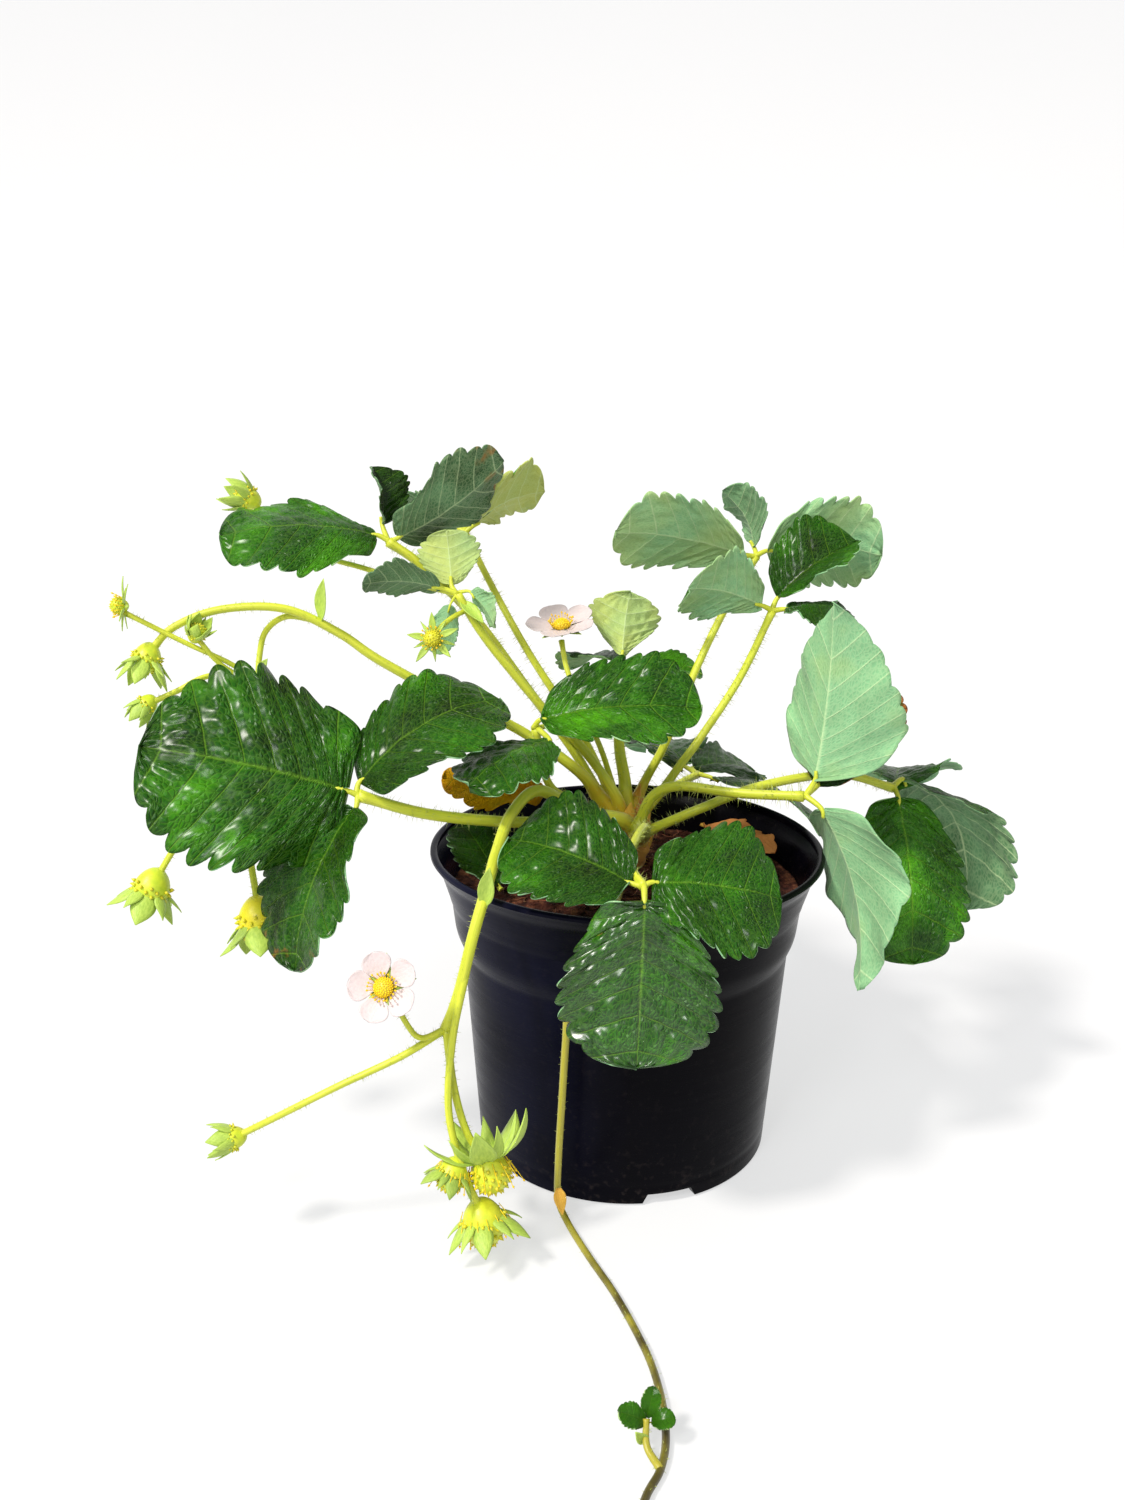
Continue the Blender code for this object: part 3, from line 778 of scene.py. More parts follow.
def tube(
    path: np.ndarray, radii: np.ndarray, sides: int, coat: int = 0, shade: np.ndarray | float = 0.0,
    ends: tuple[np.ndarray, np.ndarray] | None = None, frame: tuple[np.ndarray, np.ndarray] | None = None,
) -> Patch:
    """A ring of the given radius about each point of a path, closed by a pole at each end.

    Args:
        path: Ring centres.
        radii: A radius for each ring, or for each ring and side.
        sides: Points in a ring.
        coat: Finish number.
        shade: Each ring's shade, or one for all.
        ends: The two poles; the path's own ends if not given.
        frame: Two directions across each ring; worked out from the path if not given.

    Returns:
        The closed tube.
    """
    first, second = cross_frame(path) if frame is None else frame
    angles = np.linspace(0.0, FULL_TURN, sides, endpoint=False)
    radii = np.asarray(radii, float)
    radii = radii[:, None] if radii.ndim == 1 else radii
    outward = first[:, None] * np.cos(angles)[None, :, None] + second[:, None] * np.sin(angles)[None, :, None]
    rings = path[:, None] + outward * radii[:, :, None]
    count = len(path)
    poles = ends if ends is not None else (path[0], path[-1])
    points = np.vstack([rings.reshape(-1, 3), poles[0], poles[1]])
    step = np.arange(sides)
    after = (step + 1) % sides
    last = (count - 1) * sides
    fans = [np.stack([after, step, np.full(sides, count * sides)], axis=-1)]
    fans.append(np.stack([last + step, last + after, np.full(sides, count * sides + 1)], axis=-1))
    along = np.linspace(0.0, 1.0, count)
    place = np.stack(np.broadcast_arrays(angles[None, :] / FULL_TURN, along[:, None]), axis=-1).reshape(-1, 2)
    shades = np.broadcast_to(np.broadcast_to(shade, count)[:, None], (count, sides)).ravel()
    return Patch(
        points=points,
        quads=grid_quads(count, sides, closed=True),
        triangles=np.vstack(fans),
        place=np.vstack([place, (0.5, 0.0), (0.5, 1.0)]),
        shade=np.concatenate([shades, shades[:1], shades[-1:]]),
        coats=coat,
    )


def turned(
    centre: object, axis: object, profile: object, sides: int, coat: int = 0, shade: float = 0.0
) -> Patch:
    """A profile turned about an axis.

    Args:
        centre: The point that heights are measured from.
        axis: The direction that heights go.
        profile: (radius, height) pairs; the first and last are the poles.
        sides: Points round it.
        coat: Finish number.
        shade: One shade for all.

    Returns:
        The closed shape.
    """
    outline = np.asarray(profile, float)
    along = unit(axis)
    places = np.asarray(centre, float) + along * outline[:, 1:2]
    first = unit(np.cross((0.0, 1.0, 0.0) if abs(along[1]) < 0.8 else (0.0, 0.0, 1.0), along))
    count = len(outline) - 2
    frame = (np.tile(first, (count, 1)), np.tile(np.cross(along, first), (count, 1)))
    return tube(places[1:-1], outline[1:-1, 0], sides, coat, shade, (places[0], places[-1]), frame)


def along_route(route: tuple, steps: int) -> np.ndarray:
    """A Catmull-Rom curve through a route's points, the curve that the CAD stem follows.

    Args:
        route: The route's points.
        steps: Points made for each stretch between two of them.

    Returns:
        The curve's points.
    """
    given = np.asarray(route, float)
    padded = np.vstack([2.0 * given[0] - given[1], given, 2.0 * given[-1] - given[-2]])
    stretches = len(given) - 1
    place = np.linspace(0.0, stretches, stretches * steps + 1)
    index = np.minimum(place.astype(int), stretches - 1)
    t = (place - index)[:, None]
    before, start, end, after = (padded[index + shift] for shift in range(4))
    curve = 2.0 * start + (end - before) * t + (2.0 * before - 5.0 * start + 4.0 * end - after) * t**2
    return 0.5 * (curve + (3.0 * start - before - 3.0 * end + after) * t**3)


def bristles(
    path: np.ndarray, radii: np.ndarray, each_mm: float, length: float, rng: np.random.Generator, coat: int
) -> Patch:
    """Fine stiff hairs that stand out from a stem, each a three-sided spike with its foot inside the stem.

    Args:
        path: The stem's points.
        radii: The stem's radius at each.
        each_mm: Hairs to a millimetre of stem.
        length: A hair's mean length.
        rng: The source of the random places.
        coat: Finish number.

    Returns:
        All the hairs of the stem.
    """
    first, second = cross_frame(path)
    stretch = np.linalg.norm(np.diff(path, axis=0), axis=1)
    total = float(stretch.sum())
    count = max(4, int(total * each_mm))
    place = np.interp(rng.random(count) * total, np.concatenate([[0.0], np.cumsum(stretch)]),
                      np.arange(len(path)))
    low = np.minimum(place.astype(int), len(path) - 2)
    part = (place - low)[:, None]
    centre = path[low] * (1.0 - part) + path[low + 1] * part
    radius = (radii[low] + radii[low + 1])[:, None] * 0.5
    angle = rng.random(count)[:, None] * FULL_TURN
    outward = first[low] * np.cos(angle) + second[low] * np.sin(angle)
    forward = unit(path[low + 1] - path[low])
    reach = length * (0.6 + 0.8 * rng.random(count))[:, None]
    lean = unit(outward + forward * (rng.random(count)[:, None] - 0.6) * 0.7)
    around = np.cross(forward, outward)
    foot = centre + outward * radius * 0.8
    wide, half, deep = around * HAIR_RADIUS, around * HAIR_RADIUS * 0.5, forward * HAIR_RADIUS * 0.87
    corners = [foot + wide, foot - half + deep, foot - half - deep, foot + lean * (reach + radius * 0.2)]
    numbers = np.arange(count)[:, None] * 4
    spikes = np.array([[0, 1, 3], [1, 2, 3], [2, 0, 3], [2, 1, 0]])
    return Patch(
        points=np.stack(corners, axis=1).reshape(-1, 3),
        quads=np.zeros((0, 4), int),
        triangles=(numbers[:, None] + spikes[None]).reshape(-1, 3),
        coats=coat,
    )


def lobe(
    base: np.ndarray, outward: np.ndarray, up: np.ndarray, length: float, width: float, lift: float,
    bend: float, blunt: float, coats: tuple[int, int] = (0, 0), thickness: float = 0.3, cup: float = 0.15,
    rows: int = 11, columns: int = 7, shade: float = 0.0, ripple: float = 0.0,
) -> Patch:
    """A small blade such as a sepal, petal, scale or bract.

    Its middle line starts at lift radians above outward and turns by bend by its tip. Its half width is
    sin(pi t^a)^b, where blunt from 0, pointed, to 1, round, sets a and b, and its sides rise with the square
    of the distance from the middle.

    Args:
        base: Where it grows from.
        outward: The way it leaves.
        up: The way that its inner face looks.
        length: Its length.
        width: Its full width.
        lift: The starting angle in radians.
        bend: How far it turns by its tip, in radians.
        blunt: 0 for a point, 1 for a round end.
        coats: Finish numbers of its inner and outer side.
        thickness: Its thickness.
        cup: How much its sides rise, as a share of the half width.
        rows: Points along it.
        columns: Points across it.
        shade: One shade for all.
        ripple: Height of a waved rim, as a share of the width.

    Returns:
        The closed blade.
    """
    t = np.linspace(0.0, 1.0, rows)
    angle = lift + bend * t
    step = length / (rows - 1)
    run = np.concatenate([[0.0], np.cumsum(np.cos(angle[:-1]))]) * step
    rise = np.concatenate([[0.0], np.cumsum(np.sin(angle[:-1]))]) * step
    power, spread = 0.62 + 0.75 * blunt, 1.05 - 0.55 * blunt
    half = 0.5 * width * np.maximum(np.sin(math.pi * np.clip(t, 0.0, 1.0) ** power), 0.0) ** spread
    half = np.maximum(half, 0.5 * width * (0.35 * (1.0 - t) ** 6 + 0.03))
    side = np.linspace(-1.0, 1.0, columns)
    across = np.cross(up, outward)
    local_up = -outward * np.sin(angle)[:, None] + up * np.cos(angle)[:, None]
    middle = base + outward * run[:, None] + up * rise[:, None]
    raised = cup * half[:, None] * side[None] ** 2
    raised = raised + ripple * width * side[None] ** 2 * np.sin(t[:, None] * 13.0 + side[None] * 2.0)
    points = middle[:, None] + across * (half[:, None] * side[None])[..., None]
    points = points + local_up[:, None] * raised[..., None]
    place = np.stack(np.broadcast_arrays(0.5 + 0.5 * side[None], t[:, None]), axis=-1)
    return sheet(points, thickness, place, coats, shade)


def lattice_noise(x: np.ndarray, y: np.ndarray, seed: int) -> np.ndarray:
    """Smooth noise: random heights at whole-number corners, blended by 3t^2 - 2t^3 in each direction.

    Args:
        x: First coordinate of each point.
        y: Second coordinate of each point.
        seed: Sets the heights.

    Returns:
        Values from -1 to 1.
    """
    table = np.random.default_rng(seed).random((64, 64)) * 2.0 - 1.0
    left, low = np.floor(x).astype(int), np.floor(y).astype(int)
    across, up = x - left, y - low
    across, up = across**2 * (3.0 - 2.0 * across), up**2 * (3.0 - 2.0 * up)
    bottom = table[left % 64, low % 64] * (1.0 - across) + table[(left + 1) % 64, low % 64] * across
    top = table[left % 64, (low + 1) % 64] * (1.0 - across) + table[(left + 1) % 64, (low + 1) % 64] * across
    return bottom * (1.0 - up) + top * up


def round_axis(side: np.ndarray, ahead: np.ndarray, angle: float) -> np.ndarray:
    """The direction at an angle round an axis: side cos(angle) + ahead sin(angle).

    Args:
        side: The direction at angle 0.
        ahead: The direction a quarter of a turn on.
        angle: The angle in radians.

    Returns:
        The direction.
    """
    return side * math.cos(angle) + ahead * math.sin(angle)


def octahedra(count: int) -> np.ndarray:
    """Triangles of eight-faced beads whose six corners follow one another.

    Args:
        count: How many beads.

    Returns:
        Corner numbers, one row per triangle.
    """
    return (np.arange(count)[:, None, None] * 6 + EIGHT_FACES[None]).reshape(-1, 3)


# ---------------------------------------------------------------- pot, soil and crown


@dataclass
class NurseryPot:
    """The thin round pot: raised gutter with drain holes, notched foot, tapered body, shoulder and flared
    collar."""

    rim_radius: float = 65.0
    height: float = 104.5
    shoulder_radius: float = 54.6
    shoulder_height: float = 71.0
    collar_heights: tuple = (77.0, 87.0, 99.0)
    collar_radii: tuple = (57.0, 58.2, 62.0)
    foot_radius: float = 49.5
    wall: float = 1.3
    floor: float = 1.6
    pad_radius: float = 30.0
    gutter_rise: float = 4.0
    foot_ring_width: float = 3.2
    notches: int = 4
    notch_width: float = 17.0
    notch_rise: float = 3.4
    first_notch_deg: float = -74.0
    drain_holes: int = 8
    drain_radius: float = 3.5
    sides: int = 192

    def outer_radius(self, height: np.ndarray | float) -> np.ndarray:
        """The outer radius, straight between the same heights as the CAD pot's.

        Args:
            height: One height or more.

        Returns:
            The radius at each.
        """
        heights = (0.0, self.shoulder_height, *self.collar_heights, self.height - 1.5)
        radii = (self.foot_radius, self.shoulder_radius, *self.collar_radii, self.rim_radius)
        return np.interp(height, heights, radii)

    def profile(self) -> np.ndarray:
        """The section from the underside's middle, up the outside, over the lip and down inside to the floor.

        The outside is the outer radius sampled every 1.1 mm and eased by a moving mean, which rounds the
        shoulder as forming does, with a fine groove near the foot and a faint bead round the collar.

        Returns:
            (radius, height) pairs.
        """
        ring = self.foot_radius - self.foot_ring_width
        under = [(0.0, 0.0), (self.pad_radius - 8.0, 0.0), (self.pad_radius, 0.0)]
        under += [(self.pad_radius + 2.5, self.gutter_rise)]
        under += [(radius, self.gutter_rise) for radius in np.arange(self.pad_radius + 3.0, ring - 1.0, 0.55)]
        under += [(ring - 1.0, self.gutter_rise), (ring, 0.3), (ring + 0.4, 0.0),
                  (self.foot_radius - 0.8, 0.0)]
        heights = np.arange(0.6, self.height - 2.4, 1.1)
        radii = np.mean([self.outer_radius(heights + shift) for shift in (-1.6, -0.8, 0.0, 0.8, 1.6)], axis=0)
        radii = np.minimum(radii, self.outer_radius(heights))
        groove = 0.25 * np.exp(-(((heights - 6.5) / 0.7) ** 2))
        radii = radii - groove + 0.12 * np.exp(-(((heights - 88.5) / 0.8) ** 2))
        outside = list(zip(radii, heights))
        lip = [(self.rim_radius - 0.5, self.height - 1.9), (self.rim_radius, self.height - 1.3)]
        lip += [(self.rim_radius - 0.1, self.height - 0.5), (self.rim_radius - 0.7, self.height)]
        lip += [(self.rim_radius - 1.7, self.height), (self.rim_radius - 2.3, self.height - 0.5)]
        inner_heights = np.arange(self.height - 2.5, self.gutter_rise + self.floor, -2.2)
        inside = list(zip(self.outer_radius(inner_heights) - self.wall, inner_heights))
        top = self.gutter_rise + self.floor
        inside += [(self.outer_radius(top) - self.wall, top), (self.pad_radius + 1.5, top)]
        inside += [(self.pad_radius - 1.0, self.floor), (0.0, self.floor)]
        return np.array(under + outside + lip + inside)

    def build(self) -> bpy.types.Object:
        """Turns the profile, lifts the foot at the notches and sinks the drain holes, which the soil fills.

        Returns:
            The pot.
        """
        outline = self.profile()
        patch = turned((0.0, 0.0, 0.0), (0.0, 0.0, 1.0), outline, self.sides)
        radius = np.hypot(patch.points[:, 0], patch.points[:, 1])
        angle = np.arctan2(patch.points[:, 1], patch.points[:, 0]) - math.radians(self.first_notch_deg)
        gap = FULL_TURN / self.notches
        arc = np.abs((angle + 0.5 * gap) % gap - 0.5 * gap) * self.foot_radius
        half, top = 0.5 * self.notch_width, self.notch_rise + 0.4
        lifted = top * (1.0 - eased(arc, half - 0.7, half + 0.7))
        foot = (radius > self.pad_radius + 10.0) & (patch.points[:, 2] < top)
        patch.points[:, 2] = np.where(foot, np.maximum(patch.points[:, 2], lifted), patch.points[:, 2])
        middle = 0.5 * (self.pad_radius + 2.5 + self.foot_radius - self.foot_ring_width - 1.0)
        turn = FULL_TURN / self.drain_holes
        along = (np.arctan2(patch.points[:, 1], patch.points[:, 0]) % turn - 0.5 * turn) * middle
        inside = np.hypot(along, radius - middle) < self.drain_radius
        gutter = inside & (np.abs(patch.points[:, 2] - self.gutter_rise) < 0.01)
        patch.points[gutter, 2] = self.gutter_rise + self.floor - 0.1
        piece = Piece("nursery_pot", (MouldedPolypropylene(),), "pot", "pot")
        piece.add(patch)
        made = piece.build()
        made.data.set_sharp_from_angle(angle=math.radians(40.0))
        return made


@dataclass
class PottingSoil:
    """The peat: a lumpy mound over a plug that fills the pot, with loose crumbs and fibres on it."""

    pot: NurseryPot
    level: float = 91.0
    mound: float = 2.5
    gap: float = 0.35
    crumbs: int = 620
    fibres: int = 150
    sides: int = 220
    rings: int = 80

    def surface(self, x: np.ndarray, y: np.ndarray) -> np.ndarray:
        """The peat's height: a shallow mound with three sizes of lattice noise, flattened near the wall.

        Args:
            x: First coordinate of each place.
            y: Second coordinate of each place.

        Returns:
            The height at each place.
        """
        radius = np.hypot(x, y)
        reach = float(self.pot.outer_radius(self.level)) - self.pot.wall - self.gap
        base = self.level + self.mound * (1.0 - eased(radius, 34.0, reach))
        rough = 1.1 * lattice_noise(x / 7.0 + 9.0, y / 7.0 + 9.0, 3)
        rough = rough + 0.6 * lattice_noise(x / 2.6, y / 2.6, 4)
        rough = rough + 0.35 * lattice_noise(x / 1.1, y / 1.1, 5)
        return base - 0.8 + rough * (1.0 - 0.7 * eased(radius, reach - 6.0, reach))

    def build(self) -> bpy.types.Object:
        """Makes the mound and its plug, the crumbs and the fibres.

        Returns:
            The soil.
        """
        piece = Piece("peat_soil", (Peat(), Scale(name="peat_fibre", green="#4a2a18", pale="#7d5230")),
                      "soil", "soil")
        reach = float(self.pot.outer_radius(self.level)) - self.pot.wall - self.gap
        floor = self.pot.gutter_rise + self.pot.floor + self.gap
        foot = float(self.pot.outer_radius(floor)) - self.pot.wall - self.gap
        rings = np.linspace(0.7, reach, self.rings)
        outline = [(0.0, floor), (foot * 0.5, floor), (foot, floor)]
        walls = np.linspace(floor + 6.0, self.level - 3.0, 14)
        outline += list(zip(self.pot.outer_radius(walls) - self.pot.wall - self.gap, walls))
        outline += [(radius, self.level) for radius in rings[::-1]] + [(0.0, self.level)]
        patch = turned((0.0, 0.0, 0.0), (0.0, 0.0, 1.0), outline, self.sides)
        top = np.abs(patch.points[:, 2] - self.level) < 1e-6
        patch.points[top, 2] = self.surface(patch.points[top, 0], patch.points[top, 1])
        piece.add(patch)
        rng = np.random.default_rng(11)
        piece.add(self.scatter_crumbs(rng, reach))
        for _ in range(self.fibres):
            piece.add(self.fibre(rng, reach))
        return piece.build()

    def scatter_crumbs(self, rng: np.random.Generator, reach: float) -> Patch:
        """Crumbs as squashed eight-faced lumps, each corner moved at random, half sunk in the mound.

        Args:
            rng: The source of their places, sizes and shapes.
            reach: The mound's radius.

        Returns:
            All the crumbs.
        """
        radius = (reach - 3.0) * np.sqrt(rng.random(self.crumbs))
        angle = rng.random(self.crumbs) * FULL_TURN
        x, y = radius * np.cos(angle), radius * np.sin(angle)
        size = 0.5 + 1.5 * rng.random(self.crumbs) ** 3
        corners = np.array([(1, 0, 0), (0, 1, 0), (-1, 0, 0), (0, -1, 0), (0, 0, 0.7), (0, 0, -0.7)], float)
        shaken = corners[None] * (0.7 + 0.6 * rng.random((self.crumbs, 6, 1)))
        shaken = shaken + 0.35 * (rng.random((self.crumbs, 6, 3)) - 0.5)
        centre = np.stack([x, y, self.surface(x, y) + 0.15 * size], axis=-1)
        points = centre[:, None] + shaken * size[:, None, None]
        return Patch(points=points.reshape(-1, 3), quads=np.zeros((0, 4), int),
                     triangles=octahedra(self.crumbs))

    def fibre(self, rng: np.random.Generator, reach: float) -> Patch:
        """One loose root fibre: a thin tube along a gentle arc that follows the mound.

        Args:
            rng: The source of its place, heading and length.
            reach: The mound's radius.

        Returns:
            The fibre.
        """
        start = (reach - 12.0) * math.sqrt(rng.random())
        angle, turn, length = rng.random() * FULL_TURN, rng.normal(0.0, 0.25), 4.0 + 10.0 * rng.random()
        heading = rng.random() * FULL_TURN + turn * np.arange(7)
        x = start * math.cos(angle) + np.cumsum(np.cos(heading)) * length / 7.0
        y = start * math.sin(angle) + np.cumsum(np.sin(heading)) * length / 7.0
        path = np.stack([x, y, self.surface(x, y) + 0.25 + 0.5 * rng.random()], axis=-1)
        return tube(path, np.linspace(0.22, 0.08, 7), 4, coat=1, shade=rng.random())


@dataclass
class Crown:
    """The short rough crown, wrapped in the dry scales and stipules of old leaves."""

    centre: tuple = (0.0, 12.0)
    radius: float = 8.5
    foot: float = 93.2
    top: float = 113.0
    scales: int = 30
    rings: int = 24
    sides: int = 40

    def build(self) -> bpy.types.Object:
        """Makes the core as an uneven turned shape and wraps its scales round it in a golden-angle spiral.

        Returns:
            The crown.
        """
        piece = Piece("crown_with_scales", (Scale(),), "crown", "crown")
        share = np.linspace(0.0, 1.0, self.rings)
        heights = self.foot - 1.0 + (self.top - self.foot) * share
        radii = self.radius * np.interp(share, (0.0, 0.3, 0.6, 0.85, 1.0), (0.8, 1.0, 0.95, 0.7, 0.35))
        angles = np.linspace(0.0, FULL_TURN, self.sides, endpoint=False)
        ripple = 0.06 * np.sin(angles[None] * 5.0 + heights[:, None] * 0.5)
        uneven = 1.0 + ripple * np.sin(heights[:, None] * 1.1)
        path = np.stack([*(np.full(self.rings, value) for value in self.centre), heights], axis=-1)
        piece.add(tube(path, radii[:, None] * uneven, self.sides, shade=0.6))
        rng = np.random.default_rng(5)
        piece.add(bristles(path, radii, 12.0, 2.6, rng, 0))
        for number in range(self.scales):
            angle = number * GOLDEN_ANGLE
            level = number / self.scales
            outward = np.array([math.cos(angle), math.sin(angle), 0.0])
            across = 0.80 * self.radius * float(np.interp(level, (0.0, 0.5, 1.0), (1.0, 0.95, 0.45)))
            height = self.foot + 1.0 + (self.top - self.foot - 5.0) * level
            base = np.array([self.centre[0], self.centre[1], height]) + outward * across
            piece.add(lobe(
                base, outward, np.array([0.0, 0.0, 1.0]), 9.0 + 4.0 * rng.random(), 5.2,
                1.0 + 0.3 * rng.random(),
                0.35, 0.15, thickness=0.35, cup=0.55, shade=0.8 * rng.random(),
            ))
        return piece.build()


# ---------------------------------------------------------------- leaves


class Age(Enum):
    """What a blade's two sides are made of."""

    GREEN = "green"
    YELLOW = "yellow"
    WITHERED = "withered"


@dataclass(frozen=True)
class Leaflet:
    """One blade from base to tip. faces is the way its upper side looks, fold lifts both halves off the
    midrib in degrees, spread is the outline's power (less is rounder), shade runs from deep to bright and
    carries both the leaf's age and painted light and shade (low for leaflets in shadow, high for sunlit
    ones), burn scorches, teeth scales the teeth, heart is how far the two lobes reach behind the base, as a
    share of the length, and glossy gives it the wetter, more sharply netted cuticle of a leaf in full sun."""

    name: str
    base: tuple
    tip: tuple
    faces: tuple
    width: float
    arch: float = 4.0
    fold: float = 0.0
    stalk: float = 3.0
    age: Age = Age.GREEN
    spread: float = 0.42
    shade: float = 0.45
    burn: float = 0.0
    widest: float = 1.3
    pleat: float = 1.0
    teeth: float = 1.0
    heart: float = 0.04
    glossy: bool = False

    def points(self, vein: np.ndarray, side: np.ndarray, seed: int) -> np.ndarray:
        """The blade's surface.

        vein runs 0 to 1 from base to tip and side -1 to 1 across. A vein leaves the midrib at vein^2.3 of the
        length and meets the margin at vein, so that rows of the grid are the veins themselves. The half width
        at the margin is sin(pi vein^widest)^spread; a round tooth, |sin(pi part^1.3)|^0.6, which leans
        forward, moves the outer fifth out and on. The height is the midrib's arch 4t(1-t), the fold, a bulge
        between each two veins, a fine quilting, a groove along the midrib and three waves.

        Args:
            vein: Grid of vein values.
            side: Grid of side values.
            seed: Sets the waves.

        Returns:
            Points as rows, columns, xyz.
        """
        rng = np.random.default_rng(seed)
        base, tip = np.array(self.base, float), np.array(self.tip, float)
        along = unit(tip - base)
        length = float(np.linalg.norm(tip - base))
        up = np.array(self.faces, float)
        up = unit(up - along * up.dot(along))
        across = np.cross(up, along)
        fold = math.radians(self.fold)
        away = np.abs(side)
        phase = vein * TEETH
        part = phase - np.floor(phase)
        tooth = np.abs(np.sin(math.pi * part**1.3)) ** 0.6 - 0.6
        tooth = self.teeth * tooth * eased(vein, 0.1, 0.3) * away**5
        start = vein**VEIN_LEAN
        travelled = start + (vein - start) * away**1.15 + TOOTH_REACH * tooth * (1.0 - vein**6)
        travelled = travelled - self.heart * np.exp(-(((vein - 0.11) / 0.09) ** 2)) * away**2
        half = 0.5 * self.width * np.maximum(np.sin(math.pi * vein**self.widest), 0.0) ** self.spread
        half = np.maximum(half, 0.55 * (1.0 - vein) + 0.12)
        x = side * half * (1.0 + TOOTH_SPREAD * tooth)
        bare = self.stalk * 0.4
        t = (bare + (length - bare) * travelled) / length
        between = np.sin(math.pi * np.mod(phase + TOOTH_LEAN, 1.0)) ** 0.85
        cell = 1.0 + 0.55 * np.sin(FULL_TURN * 3.6 * away + 2.4 * np.floor(phase + TOOTH_LEAN))
        quilt = 0.016 * self.pleat * self.width * between * cell * away**0.5 * (1.0 - away**5)
        fine = lattice_noise(phase * 2.3 + 9.0, side * 9.0 + 20.0, seed)
        quilt = quilt + 0.007 * self.pleat * self.width * fine
        groove = -0.55 * np.exp(-((x / 1.0) ** 2)) * (1.0 - vein)
        turn = rng.random(4) * FULL_TURN
        wave = 0.04 * self.width * away**2 * np.sin(FULL_TURN * 1.9 * vein + turn[0] + 1.2 * np.sign(side))
        wave = wave + 0.015 * self.width * np.sin(FULL_TURN * 0.9 * vein + turn[1]) * away
        wave = wave + 0.014 * self.width * away**4 * np.sin(FULL_TURN * 5.0 * vein + turn[2] + side)
        shrivel = 1.0 if self.age is Age.GREEN else 2.6
        folded = np.abs(x) * math.sin(fold)
        height = self.arch * 4.0 * t * (1.0 - t) + folded + shrivel * wave + quilt + groove
        made = base + along * (length * t)[..., None] + across * (x * math.cos(fold))[..., None]
        return made + up * height[..., None]

    def finishes(self) -> tuple[Finish, Finish, Finish]:
        """What the blade's three parts are made of.

        Returns:
            The upper side's, the underside's and the stalk's finish.
        """
        if self.age is Age.YELLOW:
            below = Senescent(name="yellowed_underside", deep="#c79a2a", bright="#dccb5a")
            return Senescent(), below, StemSkin()
        if self.age is Age.WITHERED:
            below = Withered(name="withered_underside", deep="#6e2c12", middle="#a8441a", bright="#c08a44")
            return Withered(), below, Scale()
        if self.glossy:
            sunny = Cuticle(name="leaf_upper_cuticle_glossy", coat=1.0, coat_roughness=0.26,
                            mesh_depth=0.0014)
            return sunny, Underside(), StemSkin()
        return Cuticle(), Underside(), StemSkin()

    def patches(
        self, seed: int, joint: tuple | None = None, rows: int = 10 * TEETH + 1, columns: int = 33
    ) -> list[Patch]:
        """The blade and its short stalk, which bends from the joint to the blade.

        Args:
            seed: Sets the blade's waves.
            joint: Where the short stalk starts; the leaflet's own base if not given.
            rows: Points along it.
            columns: Points across it.

        Returns:
            The two patches.
        """
        vein, side = np.meshgrid(np.linspace(0.0, 1.0, rows), np.linspace(-1.0, 1.0, columns), indexing="ij")
        place = np.stack([0.5 + 0.5 * side, vein], axis=-1)
        scorched = self.burn * np.clip(eased(vein, 0.55, 1.0) + 0.9 * np.abs(side) ** 6, 0.0, 1.0)
        blade = sheet(self.points(vein, side, seed), BLADE_THICKNESS, place, (0, 1), self.shade, scorched)
        base = np.array(self.base if joint is None else joint, float)
        root = self.points(np.array([[0.0]]), np.array([[0.0]]), seed)[0, 0]
        ahead = unit(np.array(self.tip, float) - np.array(self.base, float))
        size = min(1.0, self.width / 20.0)
        path = along_route((base - ahead * 0.6, root - ahead * 0.8, root + ahead * 2.4), 4)
        return [blade, tube(path, np.linspace(1.05, 0.5, len(path)) * size, 8, coat=2, shade=0.1)]

    def build(self, seed: int, joint: tuple | None = None) -> bpy.types.Object:
        """Makes the leaflet as its own piece in place of its CAD solid.

        Args:
            seed: Sets the blade's waves.
            joint: Where its short stalk starts.

        Returns:
            The leaflet.
        """
        slot = {Age.GREEN: "leaf", Age.YELLOW: "old_leaf", Age.WITHERED: "withered_leaf"}[self.age]
        piece = Piece(self.name + "_blade", self.finishes(), slot, self.name)
        for patch in self.patches(seed, joint):
            piece.add(patch)
        return piece.build()


